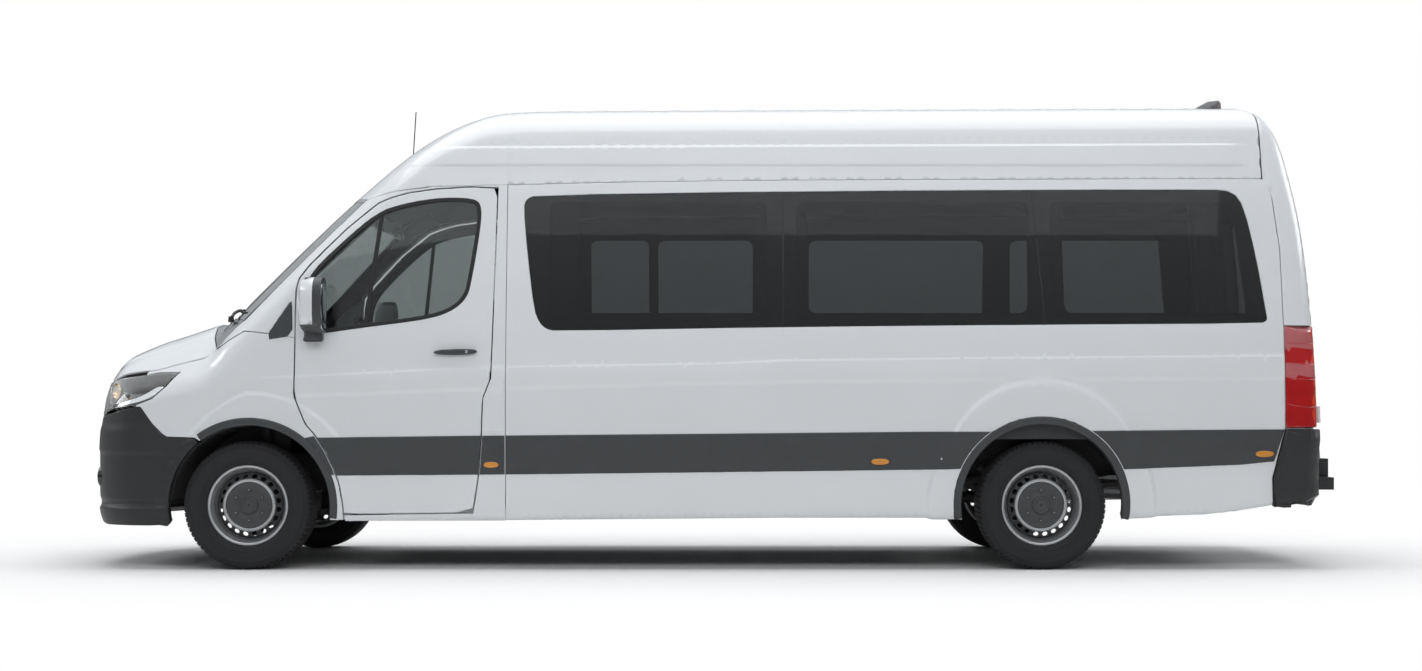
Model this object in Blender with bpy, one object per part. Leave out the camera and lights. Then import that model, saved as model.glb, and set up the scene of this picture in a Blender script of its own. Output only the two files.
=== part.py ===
"""A long glazed panel van with a high roof, built at real size as separate pieces.

Metres, +Z up. Inside this script x is measured rearward from the front axle; every mesh is moved by
X_SHIFT at the end, so that the middle of the van's length lies at x = 0. -y is the van's left side.
"""
import math

import bmesh
import bpy
import numpy as np

# Overall sizes
LENGTH = 6.967
WHEELBASE = 4.325
FRONT_OVERHANG = 1.004
BODY_HALF_WIDTH = 0.992
ROOF_Z = 2.620
TRACK = 1.715
X_SHIFT = FRONT_OVERHANG - LENGTH / 2 - 0.0
X_END = LENGTH - FRONT_OVERHANG

# Wheels
HUB_Z = 0.350
TYRE_R = 0.350
TYRE_W = 0.235
RIM_R = 0.2032
RIM_W = 0.170
WHEEL_SIDES = 20
ARCH_FRONT = (0.017, 0.350, 0.436)
ARCH_REAR = (4.318, 0.355, 0.438)
ARCH_LIP = 0.043

# Body walls and gaps
WALL = 0.055
DOOR_WALL = 0.060
SKIN = 0.016
GLASS = 0.006
TOUCH = 0.0004
FIT = 0.0010
SHUT = 0.006
SEAL = 0.022

# Ranges and axes
STEER_DEG = 35.0
DOOR_HINGE = (0.300, 0.993)
REAR_HINGE_BASE = (5.872, 0.845, 0.50)
REAR_HINGE_LEAN = 2.0
BONNET_HINGE = (-0.265, 1.355)

# Floor and chassis
CAB_FLOOR_Z = 0.640
LOAD_FLOOR_Z = 0.700
FLOOR_T = 0.035
RAIL_Y = 0.46
PAD_X = (1.60, 1.70)
PAD_DROP = 0.015
FOOT_PLATE = (0.490, 0.700, 0.160, 0.700)
RAIL_W = 0.070
RAIL_H = 0.120
HOUSE_Y = 0.675


def curve(points):
    """A smooth function of one value through the given points (monotone cubic)."""
    xs = np.array([p[0] for p in points], float)
    ys = np.array([p[1] for p in points], float)
    d = np.diff(ys) / np.diff(xs)
    m = np.zeros_like(ys)
    m[1:-1] = np.where(d[:-1] * d[1:] > 0, 2 * d[:-1] * d[1:] / (d[:-1] + d[1:] + 1e-12), 0.0)
    m[0], m[-1] = d[0], d[-1]

    def f(v):
        v = np.asarray(v, float)
        c = np.clip(v, xs[0], xs[-1])
        i = np.clip(np.searchsorted(xs, c) - 1, 0, len(xs) - 2)
        h = xs[i + 1] - xs[i]
        t = (c - xs[i]) / h
        t2, t3 = t * t, t * t * t
        y = ((2 * t3 - 3 * t2 + 1) * ys[i] + (t3 - 2 * t2 + t) * h * m[i]
             + (3 * t2 - 2 * t3) * ys[i + 1] + (t3 - t2) * h * m[i + 1])
        return y + np.where(v < xs[0], (v - xs[0]) * m[0], 0) + np.where(v > xs[-1], (v - xs[-1]) * m[-1], 0)
    return f


# Half width of the body against height, away from the ends
side_width = curve([(0.20, BODY_HALF_WIDTH - 0.022), (0.40, BODY_HALF_WIDTH - 0.010),
                    (0.75, BODY_HALF_WIDTH), (0.98, BODY_HALF_WIDTH - 0.004), (1.15, BODY_HALF_WIDTH - 0.016),
                    (1.35, BODY_HALF_WIDTH - 0.032), (1.70, BODY_HALF_WIDTH - 0.066),
                    (2.05, BODY_HALF_WIDTH - 0.110), (2.14, BODY_HALF_WIDTH - 0.125),
                    (2.30, BODY_HALF_WIDTH - 0.160), (2.50, BODY_HALF_WIDTH - 0.205),
                    (2.70, BODY_HALF_WIDTH - 0.250)])
# Height of the body along its middle: bonnet, windscreen, roof
middle_top = curve([(-1.02, 1.000), (-0.95, 1.100), (-0.90, 1.160), (-0.79, 1.222), (-0.67, 1.272),
                    (-0.54, 1.314), (-0.445, 1.346), (-0.36, 1.374), (-0.27, 1.402), (-0.10, 1.570),
                    (0.17, 1.838), (0.45, 2.103), (0.593, 2.226), (0.726, 2.333), (0.844, 2.417),
                    (0.977, 2.492), (1.144, 2.560), (1.32, 2.600), (1.60, ROOF_Z - 0.008),
                    (3.20, ROOF_Z), (6.2, ROOF_Z + 0.010)])
# How far that height falls by 0.75 m from the middle
side_fall = curve([(-1.0, 0.20), (-0.30, 0.215), (0.45, 0.225), (0.80, 0.185), (1.10, 0.135),
                   (1.45, 0.100), (6.2, 0.095)])
# Front and rear faces against height
nose_x = curve([(0.20, -0.955), (0.30, -0.990), (0.42, -FRONT_OVERHANG), (0.60, -FRONT_OVERHANG),
                (0.74, -0.998), (0.90, -0.975), (1.05, -0.950), (1.30, -0.90)])
rear_x = curve([(0.20, 5.868), (0.765, 5.868), (1.334, 5.850), (1.507, 5.838), (1.866, 5.799),
                (2.158, 5.743), (2.337, 5.698), (2.48, 5.630), (2.62, 5.52)])
bottom_z = curve([(-1.0, 0.235), (-0.45, 0.240), (0.45, 0.252), (1.41, 0.263), (2.90, 0.276),
                  (4.76, 0.278), (5.20, 0.294), (5.39, 0.315), (5.58, 0.345), (5.90, 0.368)])


def round_max(a, b, r):
    """The greater of two distances, with a corner of radius r between them."""
    corner = np.sqrt(np.maximum(a + r, 0) ** 2 + np.maximum(b + r, 0) ** 2) - r
    return np.where((a > -r) & (b > -r), corner, np.maximum(a, b))


def half_width(x, z):
    """Half width of the side at a place, with the taper of the nose and of the tail."""
    nose = np.clip((-x - 0.15) / 0.85, 0, 1)
    tail = np.clip((x - 5.0) / 0.9, 0, 1)
    pillar = np.clip((1.5 - x) / 1.5, 0, 1) * np.clip((z - 1.25) / 0.9, 0, 1)
    return side_width(z) - 0.075 * nose ** 2 - 0.022 * tail ** 2 - 0.050 * pillar ** 2


def body_field(x, y, z, floor=True):
    """Distance outside the body's outer skin, negative inside."""
    a = np.abs(y)
    side = a - half_width(x, z)
    slope = (middle_top(x + 0.01) - middle_top(x - 0.01)) / 0.02
    top = (z - middle_top(x) + side_fall(x) * (a / 0.75) ** 2) / np.sqrt(1 + slope ** 2)
    nose = nose_x(z) + 0.165 * (a / 0.80) ** 2.4 - x
    tail = x - rear_x(z) + 0.030 * (a / 0.80) ** 2.0
    r_top = np.interp(x, [-1.0, -0.3, 0.2, 0.8, 1.4], [0.06, 0.05, 0.035, 0.08, 0.13])
    f = round_max(side, top, r_top)
    f = round_max(f, nose, np.interp(z, [0.3, 1.1], [0.13, 0.09]))
    f = round_max(f, tail, 0.075)
    if floor:
        f = round_max(f, bottom_z(x) - z, 0.03)
    return f


def solve(fn, lo, hi, level, steps=42):
    """The value between lo and hi at which fn reaches level, for arrays."""
    lo, hi = lo.copy(), hi.copy()
    for _ in range(steps):
        mid = (lo + hi) / 2
        inside = fn(mid) < level
        lo = np.where(inside, mid, lo)
        hi = np.where(inside, hi, mid)
    return (lo + hi) / 2


# ---- meshes ----
for old in list(bpy.data.objects):
    bpy.data.objects.remove(old, do_unlink=True)

COLOURS = {
    "paint": ((0.60, 0.62, 0.62, 1), 0.0, 0.30, 0.0), "plastic": ((0.045, 0.047, 0.050, 1), 0.0, 0.55, 0.0),
    "glass": ((0.06, 0.07, 0.07, 1), 0.0, 0.05, 0.75), "clear": ((0.80, 0.82, 0.84, 1), 0.0, 0.05, 0.6),
    "lamp": ((0.55, 0.03, 0.03, 1), 0.0, 0.15, 0.0), "steel": ((0.45, 0.46, 0.47, 1), 1.0, 0.40, 0.0),
    "dark_steel": ((0.09, 0.09, 0.10, 1), 0.8, 0.50, 0.0), "rubber": ((0.02, 0.02, 0.02, 1), 0.0, 0.80, 0.0),
    "cloth": ((0.07, 0.075, 0.085, 1), 0.0, 0.90, 0.0), "frame": ((0.10, 0.10, 0.11, 1), 0.2, 0.60, 0.0),
}


def material(name, kind):
    colour, metal, rough, clear = COLOURS[kind]
    mat = bpy.data.materials.new(name + "_" + kind)
    mat.use_nodes = True
    shader = mat.node_tree.nodes["Principled BSDF"]
    shader.inputs["Base Color"].default_value = colour
    shader.inputs["Metallic"].default_value = metal
    shader.inputs["Roughness"].default_value = rough
    shader.inputs["Transmission Weight"].default_value = clear
    return mat


def mesh(verts, faces, name="piece"):
    data = bpy.data.meshes.new(name)
    data.from_pydata([tuple(map(float, v)) for v in verts], [], faces)
    bm = bmesh.new()
    bm.from_mesh(data)
    bmesh.ops.recalc_face_normals(bm, faces=bm.faces)
    if bm.calc_volume(signed=True) < 0:
        bmesh.ops.reverse_faces(bm, faces=bm.faces)
    bm.to_mesh(data)
    bm.free()
    obj = bpy.data.objects.new(name, data)
    bpy.context.scene.collection.objects.link(obj)
    return obj


def rings(loops, closed=False, caps=True):
    """A body from loops of points with equal counts; closed joins the last loop to the first."""
    n, m = len(loops), len(loops[0])
    verts = [p for loop in loops for p in loop]
    faces = []
    for i in range(n if closed else n - 1):
        j = (i + 1) % n
        for k in range(m):
            q = (k + 1) % m
            faces.append((i * m + k, i * m + q, j * m + q, j * m + k))
    if caps and not closed:
        faces += [tuple(range(m)), tuple(range((n - 1) * m, n * m))[::-1]]
    return mesh(verts, faces)


def prism(points, axis, lo, hi):
    """A flat outline stretched along one axis: 'y' takes (x, z), 'x' takes (y, z), 'z' takes (x, y)."""
    place = {"y": lambda p, t: (p[0], t, p[1]), "x": lambda p, t: (t, p[0], p[1]),
             "z": lambda p, t: (p[0], p[1], t)}[axis]
    return rings([[place(p, lo) for p in points], [place(p, hi) for p in points]])


def box(x0, x1, y0, y1, z0, z1):
    return prism([(x0, z0), (x1, z0), (x1, z1), (x0, z1)], "y", y0, y1)


def rod(a, b, r, sides=12, r_end=None):
    """A round bar between two points."""
    a, b = np.array(a, float), np.array(b, float)
    d = (b - a) / np.linalg.norm(b - a)
    u = np.cross(d, (0, 0, 1) if abs(d[2]) < 0.9 else (1, 0, 0))
    u /= np.linalg.norm(u)
    v = np.cross(d, u)
    r_end = r if r_end is None else r_end
    turn = [2 * math.pi * k / sides for k in range(sides)]
    return rings([[p + rr * (math.cos(t) * u + math.sin(t) * v) for t in turn]
                  for p, rr in ((a, r), (b, r_end))])


def lathe(profile, centre, sides=40, closed=True):
    """A profile of (radius, y) turned about the y axis through a centre."""
    cx, cy, cz = centre
    loops = [[(cx + r * math.cos(2 * math.pi * k / sides), cy + y, cz + r * math.sin(2 * math.pi * k / sides))
              for r, y in profile] for k in range(sides)]
    return rings(loops, closed=True)


def mirror(obj):
    """A copy on the other side of the van."""
    data = obj.data.copy()
    for v in data.vertices:
        v.co.y = -v.co.y
    data.flip_normals()
    new = bpy.data.objects.new("piece", data)
    bpy.context.scene.collection.objects.link(new)
    return new


def copy(obj):
    new = bpy.data.objects.new("piece", obj.data.copy())
    bpy.context.scene.collection.objects.link(new)
    return new


def measure(data):
    """Volume of a mesh and how many of its edges lack exactly two faces."""
    bm = bmesh.new()
    bm.from_mesh(data)
    out = bm.calc_volume(signed=True), sum(not e.is_manifold for e in bm.edges)
    bm.free()
    return out


def tidy(obj):
    """Joins points that lie together and splits every face into triangles."""
    bm = bmesh.new()
    bm.from_mesh(obj.data)
    bmesh.ops.remove_doubles(bm, verts=bm.verts, dist=0.00001)
    bmesh.ops.dissolve_degenerate(bm, dist=0.00001, edges=bm.edges)
    bmesh.ops.triangulate(bm, faces=bm.faces)
    bm.to_mesh(obj.data)
    bm.free()


def boolean(obj, other, how, keep=False):
    """One Boolean step, tried again on cleaned meshes where the first result isn't a closed body."""
    va, vb = measure(obj.data)[0], measure(other.data)[0]
    best = None
    for solver, clean in (("EXACT", False), ("EXACT", True), ("MANIFOLD", True)):
        if clean:
            tidy(obj)
            tidy(other)
        mod = obj.modifiers.new("cut", "BOOLEAN")
        mod.operation, mod.object, mod.solver = how, other, solver
        view = bpy.context.evaluated_depsgraph_get()
        data = bpy.data.meshes.new_from_object(obj.evaluated_get(view))
        obj.modifiers.clear()
        vol, bad = measure(data)
        low = {"DIFFERENCE": va - vb, "UNION": max(va, vb), "INTERSECT": 1e-9}[how] - 1e-5
        high = {"DIFFERENCE": va, "UNION": va + vb, "INTERSECT": min(va, vb)}[how] + 1e-5
        fault = bad + (0 if max(low, 1e-9) <= vol <= high else 10000)
        if best is None or fault < best[0]:
            best = (fault, data)
        if fault == 0:
            break
    if best[0]:
        print("unclean step", how, best[0], round(va, 5), round(vb, 5), round(measure(best[1])[0], 5))
    obj.data = best[1]
    if not keep:
        bpy.data.objects.remove(other)
    return obj


def cut(obj, *others, keep=False):
    for other in others:
        boolean(obj, other, "DIFFERENCE", keep)
    return obj


def join(obj, *others, keep=False):
    for other in others:
        boolean(obj, other, "UNION", keep)
    return obj


def common(obj, other, keep=False):
    return boolean(obj, other, "INTERSECT", keep)


def largest(obj):
    """Keeps the greatest connected body of a mesh and drops stray slivers."""
    bm = bmesh.new()
    bm.from_mesh(obj.data)
    bmesh.ops.remove_doubles(bm, verts=bm.verts, dist=0.00002)
    bm.faces.ensure_lookup_table()
    seen, groups = set(), []
    for start in bm.faces:
        if start in seen:
            continue
        group, stack = [], [start]
        seen.add(start)
        while stack:
            f = stack.pop()
            group.append(f)
            for e in f.edges:
                for g in e.link_faces:
                    if g not in seen:
                        seen.add(g)
                        stack.append(g)
        groups.append(group)
    if len(groups) > 1:
        groups.sort(key=lambda g: -sum(f.calc_area() for f in g))
        bmesh.ops.delete(bm, geom=[f for g in groups[1:] for f in g], context="FACES")
        bmesh.ops.delete(bm, geom=[v for v in bm.verts if not v.link_faces], context="VERTS")
    bm.to_mesh(obj.data)
    bm.free()
    return obj


# ---- the body's skins ----
STATIONS = ([-1.0025, -0.985, -0.955, -0.91, -0.84, -0.73, -0.58, -0.42, -0.27, -0.06, 0.17, 0.42, 0.60, 0.78, 0.98, 1.20,
             1.50, 2.60, 3.80, 4.90, 5.35, 5.52, 5.62, 5.70, 5.76, 5.80, 5.835])
ANGLES = np.radians([-90, -68, -46, -37, -24, -6, 10, 24, 37, 46, 52, 57, 62, 70, 80, 90])


def skin_volume(depth, floor=True):
    """The closed volume under the skin at a depth below it, as sections joined along the van."""
    loops = []
    ends = (STATIONS[0] + depth, STATIONS[-1] - depth)
    for x in STATIONS:
        x = ends[0] + (x - STATIONS[0]) * (ends[1] - ends[0]) / (STATIONS[-1] - STATIONS[0])
        mid = float(np.interp(x, [-1.0, -0.95, -0.3, 0.6, 1.2, 5.4, 5.8],
                              [0.51, 0.60, 0.80, 1.0, 1.15, 1.15, 1.0]))
        ray = np.concatenate([ANGLES, math.pi - ANGLES[1:-1][::-1]])
        c, s = np.cos(ray), np.sin(ray)
        if floor:
            r = solve(lambda t: body_field(x, t * c, mid + t * s), 0 * c, 0 * c + 2.2, -depth)
        else:
            r = solve(lambda t: np.maximum(body_field(x, t * c, mid + t * s, False), 0.05 - depth - mid - t * s),
                      0 * c, 0 * c + 2.2, -depth)
        loops.append([(x, a, b) for a, b in zip(r * c, mid + r * s)])
    return rings(loops)


SOLIDS = {}


def volume(depth, floor=True):
    key = (round(depth, 5), floor)
    if key not in SOLIDS:
        SOLIDS[key] = skin_volume(depth, floor)
    return copy(SOLIDS[key])


def shell(outer, inner):
    """The wall between two depths below the skin, open at the bottom."""
    return cut(volume(outer), volume(inner, False))


def grown(points, d):
    """An outline moved outward by d, or inward where d is negative, corner by corner."""
    pts = [np.array(p, float) for p in points]
    area = sum(a[0] * b[1] - b[0] * a[1] for a, b in zip(pts, pts[1:] + pts[:1]))
    sign = 1.0 if area > 0 else -1.0
    out = []
    for i, p in enumerate(pts):
        a, b = pts[i - 1], pts[(i + 1) % len(pts)]
        u, v = (p - a) / np.linalg.norm(p - a), (b - p) / np.linalg.norm(b - p)
        n1, n2 = np.array((u[1], -u[0])) * sign, np.array((v[1], -v[0])) * sign
        n = (n1 + n2) / max(np.linalg.norm(n1 + n2), 1e-9)
        out.append(tuple(p + n * d / max(float(np.dot(n, n1)), 0.45)))
    return out


# Outlines seen from the left side, (x, z)
DOOR = [(0.264, 1.244), (0.264, 0.943), (0.327, 0.795), (0.381, 0.732), (0.435, 0.647), (0.480, 0.548),
        (0.507, 0.467), (0.525, 0.359), (0.530, 0.303), (1.227, 0.313), (1.260, 0.513), (1.275, 0.731),
        (1.281, 0.931), (1.325, 1.040), (1.345, 1.699), (1.352, 2.085), (1.200, 2.092), (1.013, 2.080),
        (0.870, 2.060), (0.771, 2.033), (0.700, 2.005), (0.645, 1.961), (0.524, 1.863), (0.409, 1.747),
        (0.327, 1.660), (0.277, 1.589), (0.264, 1.520)]
DOOR_WINDOW = [(0.110 + 0.19, 1.285), (0.300, 1.500), (0.345, 1.610), (0.430, 1.705), (0.560, 1.830),
               (0.700, 1.945), (0.800, 1.985), (0.960, 2.018), (1.100, 2.030), (1.235, 2.020), (1.262, 1.975),
               (1.255, 1.850), (1.215, 1.590), (1.190, 1.480), (1.100, 1.405), (0.960, 1.365), (0.640, 1.325),
               (0.400, 1.290)]
GUTTER = [(-0.60, 2.394), (0.45, 2.100), (0.655, 2.042), (0.80, 2.072), (1.00, 2.096), (1.41, 2.106),
          (2.10, 2.122), (2.90, 2.132), (4.40, 2.138), (5.55, 2.141)]
SIDE_GLASS = [(1.676, 1.300), (1.625, 1.312), (1.590, 1.345), (1.560, 1.420), (1.520, 1.740), (1.498, 1.980),
              (1.510, 2.022), (1.560, 2.046), (2.915, 2.068), (5.270, 2.080), (5.385, 2.066), (5.440, 1.985),
              (5.500, 1.700), (5.545, 1.400), (5.552, 1.360), (5.520, 1.342), (4.340, 1.335), (2.915, 1.322)]
PANE_1, PANE_2 = 2.915, (4.278, 4.339)
HEADLAMP = [(-1.10, 1.0285), (-0.800, 1.0285), (-0.515, 1.078), (-0.396, 1.078), (-0.442, 1.000), (-0.515, 0.928),
            (-0.607, 0.893), (-0.767, 0.858), (-1.10, 0.840)]
BUMPER_TOP = [(-1.10, 0.834), (-0.767, 0.852), (-0.607, 0.887), (-0.576, 0.884), (-0.512, 0.795),
              (-0.457, 0.740), (-0.430, 0.723), (-0.276, 0.718)]
SLIDING = [(1.435, 0.330), (1.435, 2.070), (2.885, 2.090), (2.885, 0.345)]
REAR_SEAM = [(5.642, 1.310), (5.632, 1.75), (5.600, 2.02), (5.575, 2.20), (5.550, 2.45), (5.545, 2.80)]
TAIL_LAMP = [(5.643, 0.770), (5.643, 1.330), (6.10, 1.330), (6.10, 0.770)]


def above(line, top=3.2):
    return [(line[0][0], top)] + line + [(line[-1][0], top)]


def both(points, lo=-1.3, hi=1.3):
    return prism(points, "y", lo, hi)


def left(points, lo=-1.3, hi=-0.30):
    return prism(points, "y", lo, hi)


PIECES = []


def flatten(obj):
    """Joins the faces that lie in one plane."""
    bm = bmesh.new()
    bm.from_mesh(obj.data)
    before = sum(len(f.verts) - 2 for f in bm.faces)
    bmesh.ops.dissolve_limit(bm, angle_limit=math.radians(0.12), verts=bm.verts, edges=bm.edges)
    if all(e.is_manifold for e in bm.edges) and sum(len(f.verts) - 2 for f in bm.faces) <= before:
        bmesh.ops.triangulate(bm, faces=bm.faces)
        bm.to_mesh(obj.data)
    bm.free()



def piece(obj, name, kind, smooth=False):
    """Names a finished piece, gives it its material and notes it for the final move."""
    largest(obj)
    flatten(obj)
    obj.name = name
    obj.data.name = name
    obj.data.materials.clear()
    obj.data.materials.append(material(name, kind))
    for f in obj.data.polygons:
        f.use_smooth = smooth
        f.material_index = 0
    PIECES.append(obj)
    return obj


def arch_cut(arch, width=1.3, grow=0.0, sides=28):
    return rod((arch[0], -width, arch[1]), (arch[0], width, arch[1]), arch[2] + grow, sides)


def arch_ring(arch, side=-1, low=0.0, start=-20.0, stop=200.0):
    """The lip that stands round a wheel opening, between two angles."""
    cx, cz, r = arch
    turn = [math.radians(start + (stop - start) * k / 20) for k in range(21)]
    outer = [(cx + (r + ARCH_LIP) * math.cos(t), cz + (r + ARCH_LIP) * math.sin(t)) for t in turn]
    inner = [(cx + r * math.cos(t), cz + r * math.sin(t)) for t in turn]
    edge = BODY_HALF_WIDTH + 0.018
    return prism(outer + inner[::-1], "y", -edge if side < 0 else BODY_HALF_WIDTH - 0.05,
                 -(BODY_HALF_WIDTH - 0.05) if side < 0 else edge)


# ---- roof ----
roof_line = above(GUTTER)
rear_back = [(p[0], p[1]) for p in REAR_SEAM]
roof = common(shell(0.0, 0.045), both([(-0.60, 3.2)] + GUTTER + [(5.548, 2.20), (5.545, 3.2)]))
pod = rings([[(5.33 + s * 0.05, y, 2.60), (5.40 + s * 0.05, y, z), (5.53 - s * 0.02, y, z), (5.535, y, 2.58)]
             for s, y, z in ((1, -0.20, 2.665), (0, -0.14, 2.712), (0, 0.14, 2.712), (1, 0.20, 2.665))])
roof = join(roof, pod)
piece(roof, "roof", "paint")

# ---- windscreen ----
screen_side = [(-0.81, 1.372), (-0.715, 2.048), (0.715, 2.048), (0.81, 1.372)]


def screen_outline(d):
    """The windscreen's edge seen from ahead, grown by d."""
    low = [(y, 1.408 - 0.040 * (y / 0.8) ** 2 - d) for y in np.linspace(-0.80, 0.80, 9)]
    high = [(y, 2.090 - 0.052 * (y / 0.715) ** 2 + d) for y in np.linspace(0.715, -0.715, 9)]
    out = [(p[0] + math.copysign(d, p[0]) * (abs(p[0]) > 0.7), p[1]) for p in low + high]
    return out


screen_zone = [(-1.0, 1.2), (-0.33, 1.33), (-0.05, 1.33), (0.70, 2.01), (0.60, 2.40), (-1.0, 2.40)]
windscreen = common(cut(volume(0.004), volume(0.004 + GLASS, False)), prism(screen_outline(0.0), "x", -1.0, 0.72))
piece(windscreen, "windscreen", "glass", True)


def roof_gap(obj):
    """Takes the roof and a hair's gap from a piece that meets it."""
    return cut(obj, both([(-0.60, 3.2)] + [(x, z - TOUCH) for x, z in GUTTER] + [(5.548, 2.20), (5.545, 3.2)]))


# ---- cab frame: pillars, cowl and sills ----
SEAM_B = 1.407
CAB_SIDE = [(0.545, 0.22), (SEAM_B, 0.22), (SEAM_B, 2.106 - FIT), (1.00, 2.096 - FIT), (0.80, 2.072 - FIT),
            (0.655, 2.042 - FIT), (0.45, 2.100 - FIT), (-0.20, 2.282 - FIT), (-0.45, 1.55), (-0.246, 1.191),
            (-0.16, 1.2362), (-0.02, 1.3012), (0.20, 1.2762), (0.262, 1.2633), (0.60, 1.20),
            (0.60, 0.50)]
BONNET_TOP = [(-0.93, -0.52), (-0.88, -0.60), (-0.72, -0.690), (-0.55, -0.765), (-0.30, -0.790), (-0.215, -0.790),
              (-0.290, -0.55), (-0.345, -0.28), (-0.360, 0.0)]
bonnet_plan = BONNET_TOP + [(x, -y) for x, y in BONNET_TOP[-2::-1]] + [(-0.985, 0.45), (-1.03, 0.0), (-0.985, -0.45)]
cab_side = cut(left(CAB_SIDE), left(grown(DOOR, SHUT), -1.4, -0.2))
cab_side = common(cab_side, shell(0.0, WALL))
cab_side = cut(cab_side, prism(screen_outline(FIT), "x", -1.2, 0.66))
cowl = prism([(-0.33, 1.30), (-0.215, 1.33), (-0.04, 1.31), (0.03, 1.24), (0.03, 1.18), (-0.06, 1.24),
              (-0.20, 1.27), (-0.30, 1.25)], "y", -0.872, 0.872)
cowl = common(cowl, volume(0.030, False))
cowl = join(cowl, common(box(-0.01, 0.03, -0.935, 0.935, 0.82, 1.26), volume(0.030, False)))
turn = [math.radians(2 + 86 * k / 8) for k in range(9)]
toe = [[(ARCH_FRONT[0] + r * math.cos(t), ARCH_FRONT[1] + r * math.sin(t)) for t in turn] for r in (0.456, 0.478)]
cowl = join(cowl, prism(toe[1] + toe[0][::-1], "y", -0.910, 0.910))
cab_side = join(cab_side, common(box(1.362, 1.402, -1.0, -0.80, 0.280, 2.080), volume(0.030, False)),
                common(box(0.02, 0.235, -0.914, -0.80, 0.80, 1.40), volume(0.030, False)),
                common(box(0.545, 1.400, -1.0, -0.80, 0.266, 0.294), volume(0.004)),
                box(0.455, 1.400, -0.911, -0.80, 0.272, 0.600))
cab = join(cab_side, mirror(cab_side))
cab = join(cab, cowl)
cab = cut(cab, arch_cut(ARCH_FRONT, grow=0.0125))
cab = cut(cab, prism(grown(bonnet_plan, SHUT), "z", 0.95, 2.0), box(0.2, 0.6, -0.55, 0.55, 0.2, 0.6203))
piece(cab, "cab_frame", "paint")

# ---- wings, bonnet, bumper, grille, headlamps ----
lamp_zone = [(-1.20, 0.60), (-0.62, 0.60), (-0.30, 0.80), (-0.30, 1.30), (-1.20, 1.30)]


def nose_limits(obj):
    """Takes the bonnet and the grille's place from a nose piece."""
    return cut(obj, prism(grown(bonnet_plan, SHUT), "z", 1.029, 2.0))


wing = common(shell(0.0, 0.022), left([(-1.05, 1.35), (-1.05, 0.60), (-0.50, 0.60), (-0.276, 0.718), (-0.10, 0.60),
                                       (0.40, 0.26), (0.520, 0.262), (0.560, 0.40), (0.262, 1.262), (0.20, 1.275),
                                       (-0.02, 1.300), (-0.16, 1.235), (-0.245, 1.19), (-0.40, 1.35)], -1.3, -0.48))
wing = nose_limits(wing)
wing = cut(wing, both(grown(HEADLAMP, TOUCH)), both(grown(DOOR, SHUT)),
           both([(-1.2, 0.20)] + [(x, z + TOUCH) for x, z in BUMPER_TOP] + [(-0.276, 0.20)]))
wing = cut(wing, arch_cut(ARCH_FRONT, grow=0.010))
grille_zone = box(-1.2, -0.60, -0.497, 0.497, 0.826, 1.0285)
wing = cut(wing, box(-1.2, -0.60, -0.4973, 0.4973, 0.50, 1.30))
wing_left = wing
wing_left = join(wing_left, arch_ring(ARCH_FRONT, start=-7.0, stop=124.0))
piece(wing_left, "wing_left", "paint")
piece(mirror(wing_left), "wing_right", "paint")

lamp = common(cut(volume(0.003), volume(0.110, False)), left(HEADLAMP, -1.3, -0.4976))
lamp = nose_limits(lamp)
piece(lamp, "headlamp_left", "clear", True)
piece(mirror(lamp), "headlamp_right", "clear", True)

bonnet = common(shell(0.0, 0.013), prism(bonnet_plan, "z", 1.035, 2.0))
bonnet_inner = common(shell(0.010, 0.034), prism(grown(bonnet_plan, -0.045), "z", 1.075, 2.0))
bonnet = join(bonnet, bonnet_inner)
piece(bonnet, "bonnet", "paint")

bumper = common(shell(0.0, 0.032), both([(-1.2, 0.20)] + BUMPER_TOP + [(-0.276, 0.20)]))
bumper = cut(bumper, arch_cut(ARCH_FRONT), both(grown(HEADLAMP, TOUCH), -1.3, -0.497),
             both(grown(HEADLAMP, TOUCH), 0.497, 1.3), box(-1.2, -0.60, -0.4975, 0.4975, 0.8341, 1.10), box(-1.2, -0.86, -0.46, 0.46, 0.355, 0.470))
for side in (-1, 1):
    bumper = cut(bumper, rod((-1.2, side * 0.69, 0.500), (-0.75, side * 0.69, 0.500), 0.062, 20))
piece(bumper, "front_bumper", "plastic")

grille = common(cut(volume(0.004), volume(0.040, False)), box(-1.2, -0.60, -0.497, 0.497, 0.8345, 1.0285))
for k in range(3):
    z = 0.868 + 0.052 * k
    grille = cut(grille, box(-1.2, -0.6, -0.455, -0.015, z, z + 0.030), box(-1.2, -0.6, 0.015, 0.455, z, z + 0.030))
piece(grille, "grille", "plastic")

# ---- front doors ----
door = common(shell(0.0, SKIN), left(DOOR))
door = join(door, common(shell(SKIN - 0.004, DOOR_WALL), left(grown(DOOR, -SEAL))))
door = cut(door, left(DOOR_WINDOW))
door_left = door
piece(door_left, "front_door_left", "paint")
piece(mirror(door_left), "front_door_right", "paint")
pane = common(cut(volume(0.005), volume(0.005 + GLASS, False)), left(grown(DOOR_WINDOW, -TOUCH)))
piece(pane, "door_window_left", "glass", True)
piece(mirror(pane), "door_window_right", "glass", True)


def mirror_shell():
    loops = []
    for t in np.linspace(-1, 1, 9):
        z = 1.433 + 0.150 * t
        s = (1 - abs(t) ** 3.2) ** 0.35 if abs(t) < 1 else 0.25
        y0, y1 = -1.010 - 0.010 * (1 - s), -1.055 - 0.1175 * s
        x0, x1 = 0.385 - 0.085 * s, 0.445
        loops.append([(x1, y0, z), (x1, y1, z), (x1 - 0.03, y1 - 0.0, z), (x0 + 0.03, y1 + 0.03, z), (x0, y1 + 0.07, z),
                      (x0 + 0.02, y0, z)])
    return rings(loops)


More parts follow.
